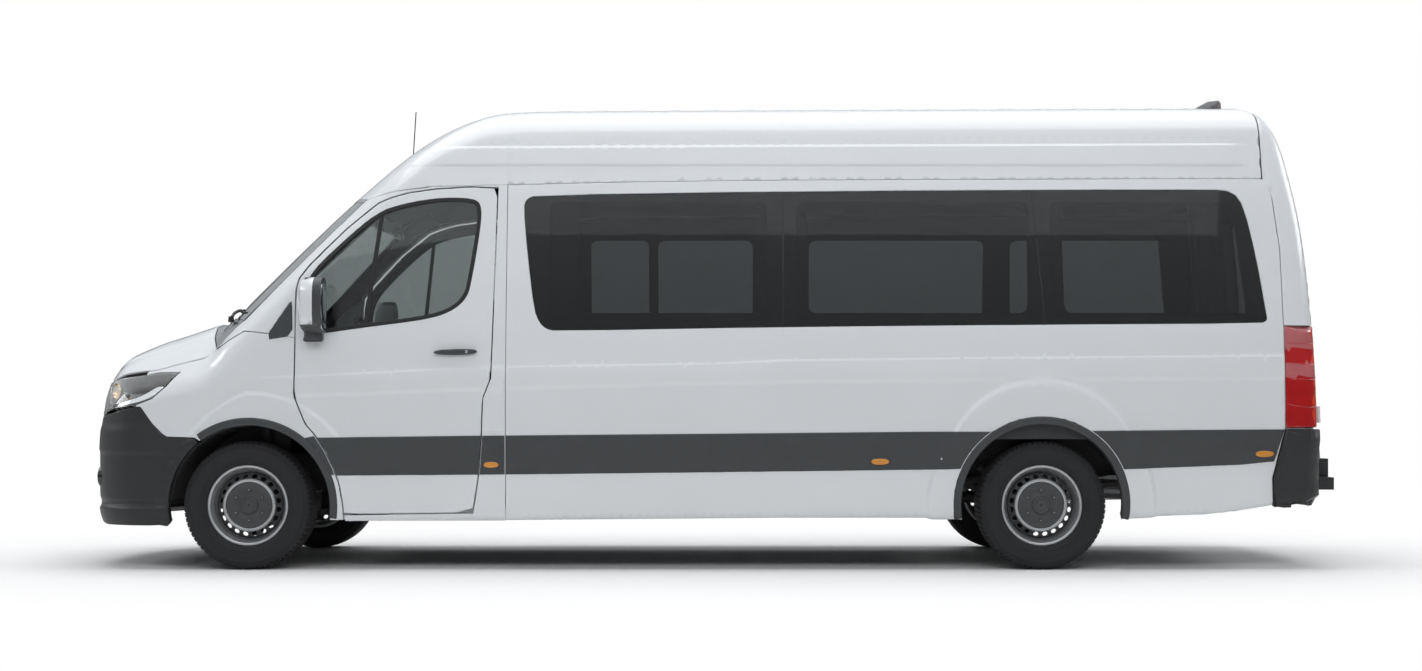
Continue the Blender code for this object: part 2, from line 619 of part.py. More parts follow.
housing = mirror_shell()
arm = rings([[(x, y, z) for x, z in ((0.315, 1.242), (0.42, 1.242), (0.42, 1.2835), (0.335, 1.2835))]
             for y in (-0.930, -1.02)])
arm = join(arm, rings([[(x, y, z) for x, z in ((0.325, 1.250), (0.42, 1.250), (0.42, 1.345), (0.335, 1.345))]
                       for y in (-1.005, -1.065)]))
housing = join(housing, arm)
housing = cut(housing, volume(-TOUCH))
piece(housing, "mirror_left", "paint")
piece(mirror(housing), "mirror_right", "paint")

# ---- side walls, sliding door and side glass ----
back = [(x - TOUCH, z) for x, z in REAR_SEAM]
SIDE_ZONE = ([(SEAM_B + TOUCH, 0.20), (SEAM_B + TOUCH, 2.106 - FIT)]
             + [(x, z - FIT) for x, z in GUTTER if 1.5 < x < 5.5] + [(5.548, 2.141 - FIT)]
             + [(x, z) for x, z in back[::-1] if z < 2.1] + [(5.642 - TOUCH, 0.768), (5.574, 0.500), (5.5795, 0.346),
                                                              (5.5795, 0.20)])
wall = common(shell(0.0, WALL), left(SIDE_ZONE))
wall = cut(wall, arch_cut(ARCH_REAR, grow=0.010))
wall = join(wall, arch_ring(ARCH_REAR, start=-7.0, stop=187.0))
plain = copy(wall)
recess = common(shell(-0.02, 0.0087), left(grown(SIDE_GLASS, TOUCH)))
hole = left(grown(SIDE_GLASS, -0.045))
wall_left = cut(wall, recess, hole)
piece(wall_left, "side_wall_left", "paint")
strip = common(cut(volume(0.0025), volume(0.0084, False)), left(SIDE_GLASS))
piece(strip, "side_glass_left", "glass")

right = mirror(plain)
glass_all = prism(SIDE_GLASS, "y", 0.3, 1.3)
right = cut(right, common(shell(-0.02, 0.0087), prism(grown(SIDE_GLASS, TOUCH), "y", 0.3, 1.3)),
            prism(grown(SIDE_GLASS, -0.045), "y", 0.3, 1.3))
right = cut(right, prism(grown(SLIDING, TOUCH), "y", 0.3, 1.3))
strip = common(cut(volume(0.0025), volume(0.0084, False)), prism(SIDE_GLASS, "y", 0.3, 1.3))
strip_front = common(copy(strip), prism(grown(SLIDING, -0.03), "y", 0.3, 1.3))
strip_back = cut(strip, box(1.0, 2.8856, 0.3, 1.3, 0.3, 2.3))
piece(right, "side_wall_right", "paint")
piece(strip_back, "side_glass_right", "glass")
slider = common(shell(0.0, 0.048), prism(SLIDING, "y", 0.3, 1.3))
slider = cut(slider, common(shell(-0.02, 0.0087), prism(grown(SIDE_GLASS, TOUCH), "y", 0.3, 1.3)),
             prism([(1.56, 1.36), (1.56, 2.01), (2.80, 2.03), (2.80, 1.38)], "y", 0.3, 1.3))
piece(slider, "sliding_door", "paint")
strip_front = common(strip_front, box(1.0, 2.8850, 0.3, 1.3, 0.3, 2.3))
piece(strip_front, "sliding_door_window", "glass")

# ---- rear frame, doors, lamps, bumper ----
def hinge_point(height, back=0.0):
    """A point on the left rear door's hinge line at a height."""
    x, y, z = REAR_HINGE_BASE
    return x - (height - z) * math.tan(math.radians(REAR_HINGE_LEAN)) + back, -y, height


def hinge_half(low, high, y, x=5.790):
    """Part of a rear hinge: a barrel on the hinge line, with a bent arm forward to the body or the door at y."""
    a, b = hinge_point(low), hinge_point(high)
    s = math.copysign(0.007, y - a[1])
    foot = [(b[0] - 0.006, a[1] - s), (b[0] - 0.006, y - s), (x, y - s), (x, y + s), (a[0] + 0.006, y + s),
            (a[0] + 0.006, a[1] - s)]
    return join(rod(a, b, 0.013, 12), prism(foot, "z", low + 0.0010, high - 0.0010))


HINGES = (0.800, 1.715)
REAR_OPEN = [(-0.812, 0.668), (-0.812, 1.30), (-0.790, 1.75), (-0.745, 2.10), (-0.690, 2.330), (-0.640, 2.400),
             (0.640, 2.400), (0.690, 2.330), (0.745, 2.10), (0.790, 1.75), (0.812, 1.30), (0.812, 0.668)]
REAR_ZONE = ([(5.642, 0.7675), (5.642, 1.31)] + REAR_SEAM[1:4]
             + [(5.5490, 2.45), (5.5490, 3.0), (6.2, 3.0), (6.2, 0.6560), (5.831, 0.6560), (5.801, 0.7675)])
rear = common(shell(0.0, WALL), both(REAR_ZONE))
rear = cut(rear, prism(grown(REAR_OPEN, SHUT), "x", 5.3, 6.2))
sill = join(box(5.55, 5.86, -0.900, 0.900, 0.50, 0.655), box(5.646, 5.86, -0.97, 0.97, 0.50, 0.654),
            box(5.646, 5.775, -0.97, -0.825, 0.60, 0.90), box(5.646, 5.775, 0.825, 0.97, 0.60, 0.90))
rear = join(rear, common(sill, volume(0.041)))
lamp_box = left(grown(TAIL_LAMP, TOUCH), -1.3, -0.852)
rear = cut(rear, common(cut(volume(-0.02), volume(0.040, False)), lamp_box, keep=True),
           common(cut(volume(-0.02), volume(0.040, False)), mirror(lamp_box)))
for height in HINGES:
    for z in (height, height + 0.0604):
        half = hinge_half(z, z + 0.030, -0.8352)
        rear = join(rear, mirror(half), half)
piece(rear, "rear_frame", "paint")
tail = common(cut(volume(0.0), volume(0.033, False)), left(TAIL_LAMP, -1.3, -0.8523))
piece(tail, "tail_lamp_left", "lamp", True)
piece(mirror(tail), "tail_lamp_right", "lamp", True)

MEET = 0.006
rear_side = [p for p in REAR_OPEN if p[0] < 0] + [(-MEET, 2.400), (-MEET, 0.668)]
rear_inner = [(-0.730, 0.700), (-0.730, 1.30), (-0.705, 1.75), (-0.660, 2.10), (-0.600, 2.300), (-0.555, 2.350),
              (-0.046, 2.350), (-0.046, 0.700)]
rear_pane = [(-0.640, 1.400), (-0.625, 1.75), (-0.590, 2.00), (-0.560, 2.04), (-0.120, 2.04), (-0.085, 2.00),
             (-0.085, 1.42), (-0.110, 1.385), (-0.610, 1.380)]
rdoor = common(shell(0.0, 0.018), prism(rear_side, "x", 5.45, 6.2))
rdoor = join(rdoor, common(shell(0.014, WALL), prism(rear_inner, "x", 5.45, 6.2)))
rdoor = cut(rdoor, prism(rear_pane, "x", 5.3, 6.2))
for height in HINGES:
    rdoor = join(rdoor, hinge_half(height + 0.0304, height + 0.060, -0.796))
piece(rdoor, "rear_door_left", "paint")
piece(mirror(rdoor), "rear_door_right", "paint")
rpane = common(cut(volume(0.003), volume(0.003 + GLASS, False)), prism(grown(rear_pane, -TOUCH), "x", 5.45, 6.2))
piece(rpane, "rear_window_left", "glass", True)
piece(mirror(rpane), "rear_window_right", "glass", True)

RB = [(5.5805, 0.346), (5.575, 0.500), (5.642, 0.7665), (5.80, 0.7665), (5.83, 0.655), (6.2, 0.655), (6.2, 0.30),
      (5.90, 0.30)]
rbump = common(cut(volume(-0.018), volume(0.030, False)), both(RB))
step = box(5.800, X_END, -0.800, 0.800, 0.430, 0.4980)
step = join(step, box(5.885, X_END, -0.700, 0.700, 0.440, 0.600))
rbump = join(rbump, step)
rbump = cut(rbump, box(5.5, 5.99, -0.820, 0.820, 0.6553, 0.90))
rbump = cut(rbump, common(volume(0.030), box(5.4, 6.3, -1.2, 1.2, 0.2, 1.0)))
piece(rbump, "rear_bumper", "plastic")

# ---- floor, rails and inner wings ----
floor = box(0.4252, 1.420, -1.0, 1.0, 0.6003, CAB_FLOOR_Z)
floor = join(floor, box(*FOOT_PLATE, CAB_FLOOR_Z - 0.010, CAB_FLOOR_Z + 0.006))
floor = join(floor, box(1.406, 5.545, -1.0, 1.0, LOAD_FLOOR_Z - FLOOR_T, LOAD_FLOOR_Z),
             box(1.406, 1.440, -1.0, 1.0, 0.6003, 0.690))
floor = common(floor, volume(WALL + TOUCH, False))
floor = join(floor, box(5.50, 5.745, -0.795, 0.795, LOAD_FLOOR_Z - FLOOR_T + TOUCH, LOAD_FLOOR_Z))
floor = cut(floor, box(0.40, 1.3617, -1.1, -0.915, 0.5, 0.8), box(0.40, 1.3617, 0.915, 1.1, 0.5, 0.8),
            box(1.3617, 1.4023, -1.0, -0.7997, 0.5, 0.8), box(1.3617, 1.4023, 0.7997, 1.0, 0.5, 0.8))
for side in (-1, 1):
    lo, hi = sorted((side * (RAIL_Y - RAIL_W / 2), side * (RAIL_Y + RAIL_W / 2)))
    rail = join(box(-0.72, 1.43, lo, hi, 0.50, 0.620), box(1.41, 5.50, lo, hi, 0.50, 0.680))
    rail = join(rail, box(*PAD_X, lo + 0.004, hi - 0.004, 0.50 - PAD_DROP, 0.52))
    lo, hi = sorted((side * 0.485, side * 0.497))
    rail = join(rail, box(-0.72, -0.0104, lo, hi, 0.56, 0.98))
    for x in (3.60, 5.04):
        lo, hi = sorted((side * 0.48, side * 0.605))
        rail = join(rail, box(x, x + 0.08, lo, hi, 0.52, 0.60))
    lo, hi = sorted((side * 0.492, side * 0.66))
    rail = join(rail, box(-0.05, -0.0104, lo, hi, 0.930, 0.950), box(-0.05, 0.09, lo, hi, 0.786, 0.796))
    floor = join(floor, rail)
    ring = [[(ARCH_FRONT[0] + r * math.cos(t), ARCH_FRONT[1] + r * math.sin(t)) for t in
             [math.radians(4 + 172 * k / 12) for k in range(13)]] for r in (0.4370, 0.4450)]
    lo, hi = sorted((side * 0.490, side * 0.930))
    floor = join(floor, prism(ring[1] + ring[0][::-1], "y", lo, hi))
    lo, hi = side * (HOUSE_Y - 0.004), side * 1.2
    house = cut(rod((ARCH_REAR[0], lo, ARCH_REAR[1]), (ARCH_REAR[0], hi, ARCH_REAR[1]), 0.466, 28),
                box(3.6, 5.0, -1.3, 1.3, -0.2, 0.600))
    floor = join(floor, common(house, volume(WALL + TOUCH, False)))
    floor = cut(floor, rod((ARCH_REAR[0], side * (HOUSE_Y + 0.008), ARCH_REAR[1]),
                           (ARCH_REAR[0], side * 1.3, ARCH_REAR[1]), 0.456, 28))
for x0, x1 in ((-0.72, -0.66), (2.35, 2.41), (3.10, 3.16), (5.38, 5.44)):
    floor = join(floor, box(x0, x1, -0.45, 0.45, 0.505, 0.615))
floor = join(floor, cut(box(-0.72, -0.69, -0.490, 0.490, 0.56, 0.97), box(-0.8, -0.6, -0.42, 0.42, 0.64, 0.93)))
for side in (-1, 1):
    floor = cut(floor, rod((0.02, side * 0.600, 0.60), (0.02, side * 0.600, 0.7862), 0.052))
piece(floor, "floor_pan", "frame")

# ---- axles, engine and what hangs below ----
beam = box(-0.10, 0.14, -0.497, 0.497, 0.380, 0.4997)
for side in (-1, 1):
    lo, hi = sorted((side * 0.44, side * 0.64))
    beam = join(beam, box(-0.05, 0.09, lo, hi, 0.225, 0.262))
    lo, hi = sorted((side * 0.44, side * 0.495))
    beam = join(beam, box(-0.04, 0.08, lo, hi, 0.23, 0.40))
    tip = rings([[(x, side * y, z + h) for x, h in ((-0.018, 0.0), (0.018, 0.0), (0.018, 0.017), (-0.018, 0.017))]
                 for y, z in ((0.600, 0.232), (0.640, 0.226), (0.690, 0.179), (0.815, 0.179))])
    beam = join(beam, tip)
    beam = join(beam, rod((0.02, side * 0.60, 0.24), (0.02, side * 0.60, 0.52), 0.027),
                rod((0.02, side * 0.60, 0.50), (0.02, side * 0.60, 0.7859), 0.045))
piece(beam, "front_axle", "dark_steel")

engine = join(box(-0.56, -0.045, -0.24, 0.24, 0.500, 0.940), box(-0.10, 0.20, -0.14, 0.14, 0.502, 0.590),
              box(0.16, 0.95, -0.15, 0.15, 0.400, 0.592))
piece(engine, "engine_block", "steel")
radiator = box(-0.6897, -0.640, -0.415, 0.415, 0.645, 0.925)
radiator = join(radiator, box(-0.6897, -0.675, -0.46, 0.46, 0.66, 0.90))
piece(radiator, "radiator", "steel")


def spring(side):
    points = [(3.60, 0.505), (3.80, 0.462), (4.05, 0.428), (4.32, 0.415), (4.60, 0.428), (4.88, 0.465), (5.12, 0.505)]
    loops = [[(x, side * y, z + dz) for y, dz in ((0.525, -0.014), (0.595, -0.014), (0.595, 0.0145), (0.525, 0.0145))]
             for x, z in points]
    return rings(loops)


axle = rod((WHEELBASE, -0.780, HUB_Z), (WHEELBASE, 0.780, HUB_Z), 0.046, 14)
axle = join(axle, rod((WHEELBASE - 0.17, 0, HUB_Z), (WHEELBASE + 0.02, 0, HUB_Z), 0.070, 14, 0.145),
            rod((WHEELBASE + 0.015, 0, HUB_Z), (WHEELBASE + 0.13, 0, HUB_Z), 0.145, 14, 0.090),
            rod((0.9530, 0, 0.470), (1.30, 0, 0.462), 0.033, 14), rod((1.28, 0, 0.463), (WHEELBASE - 0.16, 0, HUB_Z), 0.033, 14))
for side in (-1, 1):
    axle = join(axle, spring(side), box(WHEELBASE - 0.06, WHEELBASE + 0.06, *sorted((side * 0.515, side * 0.605)), 0.32, 0.44),
                rod((WHEELBASE, side * 0.745, HUB_Z), (WHEELBASE, side * 0.772, HUB_Z), 0.150, 16),
                rod((WHEELBASE, side * 0.760, HUB_Z), (WHEELBASE, side * 0.8970, HUB_Z), 0.055, 14),
                rod((WHEELBASE, side * 0.640, HUB_Z), (4.02, side * 0.640, 0.560), 0.026, 12))
piece(axle, "rear_axle", "dark_steel")

path = [(0.80, 0.30, 0.44), (2.25, 0.30, 0.41), (4.02, 0.30, 0.43), (4.20, 0.30, 0.475), (4.45, 0.30, 0.475),
        (4.72, 0.30, 0.41), (5.36, 0.30, 0.37)]
exhaust = rod((2.10, 0.30, 0.400), (2.85, 0.30, 0.400), 0.088, 20)
for a, b in zip(path, path[1:]):
    a2 = tuple(p - 0.02 * (q - p) / max(abs(b[0] - a[0]), 0.1) for p, q in zip(a, b))
    exhaust = join(exhaust, rod(a2, b, 0.029, 12))
exhaust = join(exhaust, rod((4.74, 0.30, 0.405), (5.02, 0.30, 0.388), 0.060, 16), box(2.36, 2.40, 0.27, 0.33, 0.46, 0.5047))
piece(exhaust, "exhaust", "steel")
tank = join(box(1.85, 2.85, -0.400, -0.075, 0.300, 0.5047))
piece(tank, "fuel_tank", "frame")

# ---- cab inside ----
dash = prism([(0.0304, 0.90), (0.0304, 1.178), (0.10, 1.235), (0.28, 1.235), (0.43, 1.16), (0.46, 1.02),
              (0.40, 0.90), (0.36, 0.84), (0.16, 0.86)], "y", -0.797, 0.797)
dash = join(dash, prism([(0.25, 1.20), (0.25, 1.262), (0.36, 1.290), (0.425, 1.275), (0.430, 1.10), (0.30, 1.10)], "y",
                        -0.570, -0.250))
dash = join(dash, prism([(0.20, 0.6403), (0.20, 0.92), (0.44, 0.92), (0.47, 0.86), (0.43, 0.6403)], "y", -0.12, 0.12))
dash = cut(dash, box(0.1, 0.4249, -0.2, 0.2, 0.5, 0.6403), arch_cut(ARCH_FRONT, grow=0.046))
tilt = math.radians(28)
axis = np.array((math.cos(tilt), 0, math.sin(tilt)))
up = np.array((-math.sin(tilt), 0, math.cos(tilt)))
hub = np.array((0.575, -0.410, 1.235))
inner_end = tuple(hub - axis * 0.20)
dash = cut(dash, rod(inner_end, tuple(hub), 0.0303, 16))
piece(dash, "dashboard", "plastic")
loops = []
for k in range(18):
    t = 2 * math.pi * k / 18
    d = math.cos(t) * np.array((0, 1, 0)) + math.sin(t) * up
    loops.append([tuple(hub + d * (0.190 + 0.015 * math.cos(a)) + axis * 0.015 * math.sin(a))
                  for a in [2 * math.pi * j / 6 for j in range(6)]])
wheel = rings(loops, closed=True)
wheel = join(wheel, rod(tuple(hub - axis * 0.045), tuple(hub + axis * 0.012), 0.062, 20, 0.052),
             rod(tuple(hub - axis * 0.1995), tuple(hub - axis * 0.02), 0.030, 16))
for a in (0.0, math.pi, -math.pi / 2):
    d = math.cos(a) * np.array((0, 1, 0)) + math.sin(a) * up
    wheel = join(wheel, rod(tuple(hub + d * 0.035 - axis * 0.01), tuple(hub + d * 0.186), 0.013, 10))
piece(wheel, "steering_wheel", "plastic", True)

SEAT = [(0.78, 0.6403), (1.20, 0.6403), (1.22, 0.88), (1.300, 0.96), (1.430, 1.52), (1.470, 1.76), (1.395, 1.78),
        (1.345, 1.58), (1.280, 1.47), (1.165, 1.035), (0.80, 1.015), (0.725, 0.985), (0.740, 0.915), (0.80, 0.89)]
piece(prism(SEAT, "y", -0.690, -0.190), "driver_seat", "cloth")
piece(prism(SEAT, "y", -0.125, 0.750), "passenger_seat", "cloth")

# ---- wheels and knuckles ----
RIM = [(0.220, 0.089), (0.220, 0.083), (RIM_R, 0.074), (0.188, 0.030), (0.188, -0.040), (RIM_R, -0.074),
       (0.220, -0.083), (0.220, -0.089), (0.196, -0.081), (0.180, -0.038), (0.158, 0.030), (0.118, 0.054),
       (0.078, 0.040), (0.020, 0.040), (0.020, 0.047), (0.074, 0.047), (0.118, 0.062), (0.165, 0.036),
       (0.180, 0.012), (0.196, 0.081)]
TYRE = [(0.2035, -0.073), (0.2206, -0.0825), (0.2218, -0.094), (0.255, -0.114), (0.300, -0.1175), (0.338, -0.103),
        (TYRE_R, -0.078), (TYRE_R, 0.078), (0.338, 0.103), (0.300, 0.1175), (0.255, 0.114), (0.2218, 0.094),
        (0.2206, 0.0825), (0.2035, 0.073)]
WHEELS = {"front_left": (0.0, -1), "front_right": (0.0, 1), "rear_left": (WHEELBASE, -1), "rear_right": (WHEELBASE, 1)}
for place, (x, side) in WHEELS.items():
    centre = (x, side * TRACK / 2, HUB_Z)
    rim = lathe([(r, side * y) for r, y in RIM], centre, WHEEL_SIDES)
    rim = join(rim, rod((x, centre[1] + side * 0.041, HUB_Z), (x, centre[1] + side * 0.072, HUB_Z), 0.058, 16, 0.050))
    piece(rim, "rim_" + place, "steel")
    piece(lathe([(r, side * y) for r, y in TYRE], centre, WHEEL_SIDES), "tyre_" + place, "rubber", True)
knuckle = rod((0, -0.750, HUB_Z), (0, -0.8970, HUB_Z), 0.055, 14)
knuckle = join(knuckle, rod((0, -0.765, HUB_Z), (0, -0.792, HUB_Z), 0.148, 16),
               box(-0.035, 0.035, -0.790, -0.730, 0.252, 0.46), box(0.080, 0.158, -0.815, -0.735, 0.30, 0.42),
               box(-0.155, 0.0, -0.762, -0.735, 0.300, 0.325), rod((0, -0.800, 0.1965), (0, -0.800, 0.300), 0.012, 12))
piece(knuckle, "knuckle_left", "dark_steel")
piece(mirror(knuckle), "knuckle_right", "dark_steel")

# ---- finish ----
for base in [o for o in bpy.data.objects if o not in PIECES]:
    bpy.data.objects.remove(base)
for obj in PIECES:
    for v in obj.data.vertices:
        v.co.x += X_SHIFT
origins = {"front_door": (DOOR_HINGE[0], DOOR_HINGE[1], 0.0), "rear_door": REAR_HINGE_BASE,
           "bonnet": (BONNET_HINGE[0], 0.0, BONNET_HINGE[1]), "knuckle": (0.0, 0.800, HUB_Z)}
for obj in PIECES:
    at = next((v for k, v in origins.items() if obj.name.startswith(k)), None)
    for place, (x, side) in WHEELS.items():
        if obj.name in ("rim_" + place, "tyre_" + place):
            at = (x, TRACK / 2, HUB_Z)
    if at:
        side = -1 if "left" in obj.name else 1
        at = (at[0] + X_SHIFT, at[1] * side, at[2])
        for v in obj.data.vertices:
            v.co.x, v.co.y, v.co.z = v.co.x - at[0], v.co.y - at[1], v.co.z - at[2]
        obj.location = at
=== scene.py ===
"""Looks of a long glazed van with a high roof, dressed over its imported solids.

Outlines and curves are in metres with x measured rearward from the front axle; X_SHIFT moves them into the
frame of the solids. -y is the van's left side, which faces the camera.
"""
import math

import bpy
import numpy as np
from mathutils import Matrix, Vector
from mathutils.geometry import delaunay_2d_cdt


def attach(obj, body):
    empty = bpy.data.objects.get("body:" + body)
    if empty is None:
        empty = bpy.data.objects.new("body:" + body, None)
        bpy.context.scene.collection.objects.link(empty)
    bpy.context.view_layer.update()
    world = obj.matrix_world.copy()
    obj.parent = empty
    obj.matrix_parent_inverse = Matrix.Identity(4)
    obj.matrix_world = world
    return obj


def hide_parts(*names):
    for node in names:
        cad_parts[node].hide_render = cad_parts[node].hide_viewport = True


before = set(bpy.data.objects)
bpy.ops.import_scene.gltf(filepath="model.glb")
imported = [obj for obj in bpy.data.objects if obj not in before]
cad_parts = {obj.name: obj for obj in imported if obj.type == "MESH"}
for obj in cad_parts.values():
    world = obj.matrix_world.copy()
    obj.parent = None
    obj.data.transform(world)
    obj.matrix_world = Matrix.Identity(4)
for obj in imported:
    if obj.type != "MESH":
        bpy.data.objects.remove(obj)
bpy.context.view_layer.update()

X_SHIFT = 1.004 - 6.967 / 2
BODY_HALF_WIDTH = 0.992
ARCH_FRONT = (0.017, 0.350, 0.436)
ARCH_REAR = (4.318, 0.355, 0.438)
ARCH_LIP = 0.043
WHEELBASE, HUB_Z, TRACK = 4.325, 0.350, 1.715


def curve(points):
    """A smooth function of one value through the given points (monotone cubic)."""
    xs = np.array([p[0] for p in points], float)
    ys = np.array([p[1] for p in points], float)
    d = np.diff(ys) / np.diff(xs)
    m = np.zeros_like(ys)
    m[1:-1] = np.where(d[:-1] * d[1:] > 0, 2 * d[:-1] * d[1:] / (d[:-1] + d[1:] + 1e-12), 0.0)
    m[0], m[-1] = d[0], d[-1]

    def f(v):
        v = np.asarray(v, float)
        c = np.clip(v, xs[0], xs[-1])
        i = np.clip(np.searchsorted(xs, c) - 1, 0, len(xs) - 2)
        h = xs[i + 1] - xs[i]
        t = (c - xs[i]) / h
        t2, t3 = t * t, t * t * t
        y = ((2 * t3 - 3 * t2 + 1) * ys[i] + (t3 - 2 * t2 + t) * h * m[i]
             + (3 * t2 - 2 * t3) * ys[i + 1] + (t3 - t2) * h * m[i + 1])
        return y + np.where(v < xs[0], (v - xs[0]) * m[0], 0) + np.where(v > xs[-1], (v - xs[-1]) * m[-1], 0)
    return f


side_width = curve([(0.20, BODY_HALF_WIDTH - 0.022), (0.40, BODY_HALF_WIDTH - 0.010),
                    (0.75, BODY_HALF_WIDTH), (0.98, BODY_HALF_WIDTH - 0.004), (1.15, BODY_HALF_WIDTH - 0.016),
                    (1.35, BODY_HALF_WIDTH - 0.032), (1.70, BODY_HALF_WIDTH - 0.066),
                    (2.05, BODY_HALF_WIDTH - 0.110), (2.14, BODY_HALF_WIDTH - 0.125),
                    (2.30, BODY_HALF_WIDTH - 0.160), (2.50, BODY_HALF_WIDTH - 0.205),
                    (2.70, BODY_HALF_WIDTH - 0.250)])
middle_top = curve([(-1.02, 1.000), (-0.95, 1.100), (-0.90, 1.160), (-0.79, 1.222), (-0.67, 1.272),
                    (-0.54, 1.314), (-0.445, 1.346), (-0.36, 1.374), (-0.27, 1.402), (-0.10, 1.570),
                    (0.17, 1.838), (0.45, 2.103), (0.593, 2.226), (0.726, 2.333), (0.844, 2.417),
                    (0.977, 2.492), (1.144, 2.560), (1.32, 2.600), (1.60, 2.612), (3.20, 2.620),
                    (6.2, 2.630)])
side_fall = curve([(-1.0, 0.20), (-0.30, 0.215), (0.45, 0.225), (0.80, 0.185), (1.10, 0.135),
                   (1.45, 0.100), (6.2, 0.095)])
nose_x = curve([(0.20, -0.955), (0.30, -0.990), (0.42, -1.004), (0.60, -1.004),
                (0.74, -0.998), (0.90, -0.975), (1.05, -0.950), (1.30, -0.90)])
rear_x = curve([(0.20, 5.868), (0.765, 5.868), (1.334, 5.850), (1.507, 5.838), (1.866, 5.799),
                (2.158, 5.743), (2.337, 5.698), (2.48, 5.630), (2.62, 5.52)])
bottom_z = curve([(-1.0, 0.235), (-0.45, 0.240), (0.45, 0.252), (1.41, 0.263), (2.90, 0.276),
                  (4.76, 0.278), (5.20, 0.294), (5.39, 0.315), (5.58, 0.345), (5.90, 0.368)])


def round_max(a, b, r):
    """The greater of two distances, with a corner of radius r between them."""
    corner = np.sqrt(np.maximum(a + r, 0) ** 2 + np.maximum(b + r, 0) ** 2) - r
    return np.where((a > -r) & (b > -r), corner, np.maximum(a, b))


def half_width(x, z):
    nose = np.clip((-x - 0.15) / 0.85, 0, 1)
    tail = np.clip((x - 5.0) / 0.9, 0, 1)
    pillar = np.clip((1.5 - x) / 1.5, 0, 1) * np.clip((z - 1.25) / 0.9, 0, 1)
    return side_width(z) - 0.075 * nose ** 2 - 0.022 * tail ** 2 - 0.050 * pillar ** 2


def body_field(x, y, z):
    """Distance outside the body's outer skin, negative inside."""
    a = np.abs(y)
    side = a - half_width(x, z)
    slope = (middle_top(x + 0.01) - middle_top(x - 0.01)) / 0.02
    top = (z - middle_top(x) + side_fall(x) * (a / 0.75) ** 2) / np.sqrt(1 + slope ** 2)
    nose = nose_x(z) + 0.165 * (a / 0.80) ** 2.4 - x
    tail = x - rear_x(z) + 0.030 * (a / 0.80) ** 2.0
    f = round_max(side, top, np.interp(x, [-1.0, -0.3, 0.2, 0.8, 1.4], [0.06, 0.05, 0.035, 0.08, 0.13]))
    f = round_max(f, nose, np.interp(z, [0.3, 1.1], [0.13, 0.09]))
    f = round_max(f, tail, 0.075)
    return round_max(f, bottom_z(x) - z, 0.03)


def solve(fn, lo, hi, steps=34):
    for _ in range(steps):
        mid = (lo + hi) / 2
        inside = fn(mid) < 0
        lo = np.where(inside, mid, lo)
        hi = np.where(inside, hi, mid)
    return (lo + hi) / 2


def normals_at(p):
    e = 0.0015
    g = np.stack([body_field(p[:, 0] + e, p[:, 1], p[:, 2]) - body_field(p[:, 0] - e, p[:, 1], p[:, 2]),
                  body_field(p[:, 0], p[:, 1] + e, p[:, 2]) - body_field(p[:, 0], p[:, 1] - e, p[:, 2]),
                  body_field(p[:, 0], p[:, 1], p[:, 2] + e) - body_field(p[:, 0], p[:, 1], p[:, 2] - e)], 1)
    return g / np.maximum(np.linalg.norm(g, axis=1), 1e-9)[:, None]


# Ways from a flat outline to the skin: each gives points for (u, v), and (u, v) for points
class Side:
    """(x, z) on the left side."""
    @staticmethod
    def out(u, v):
        z = np.maximum(v, bottom_z(u) + 0.002)
        y = solve(lambda t: body_field(u, t, z), np.zeros_like(u), np.full_like(u, 1.3))
        return np.stack([u, -y, v], 1)

    @staticmethod
    def back(p):
        return np.stack([p[:, 0], p[:, 2]], 1)


class Turn:
    """(turn about an upright line, z), looking to the front."""
    def __init__(self, centre):
        self.c = centre

    def out(self, u, v):
        cx, sy = -np.cos(u), np.sin(u)
        r = solve(lambda t: body_field(self.c + t * cx, t * sy, v), np.zeros_like(u), np.full_like(u, 3.0))
        return np.stack([self.c + r * cx, r * sy, v], 1)

    def back(self, p):
        return np.stack([np.arctan2(p[:, 1], self.c - p[:, 0]), p[:, 2]], 1)


class Roll:
    """(y, turn about a level line across the van): the bonnet and the cowl."""
    def __init__(self, centre):
        self.c = centre

    def out(self, u, v):
        cx, sz = -np.cos(v), np.sin(v)
        r = solve(lambda t: body_field(self.c[0] + t * cx, u, self.c[1] + t * sz), np.zeros_like(u),
                  np.full_like(u, 3.0))
        return np.stack([self.c[0] + r * cx, u, self.c[1] + r * sz], 1)

    def back(self, p):
        return np.stack([p[:, 1], np.arctan2(p[:, 2] - self.c[1], self.c[0] - p[:, 0])], 1)


class Barrel:
    """(x, turn about the line along the van times its radius): the roof."""
    def __init__(self, z=2.0, radius=0.8):
        self.z, self.r = z, radius

    def out(self, u, v):
        a = v / self.r
        sy, cz = np.sin(a), np.cos(a)
        r = solve(lambda t: body_field(u, t * sy, self.z + t * cz), np.zeros_like(u), np.full_like(u, 2.0))
        return np.stack([u, r * sy, self.z + r * cz], 1)

    def back(self, p):
        return np.stack([p[:, 0], np.arctan2(p[:, 1], p[:, 2] - self.z) * self.r], 1)


def dense(points, step=0.02):
    """The outline with more points on its sides."""
    out = []
    for a, b in zip(points, list(points[1:]) + [points[0]]):
        n = max(1, int(math.ceil(math.hypot(b[0] - a[0], b[1] - a[1]) / step)))
        out += [(a[0] + (b[0] - a[0]) * k / n, a[1] + (b[1] - a[1]) * k / n) for k in range(n)]
    return out


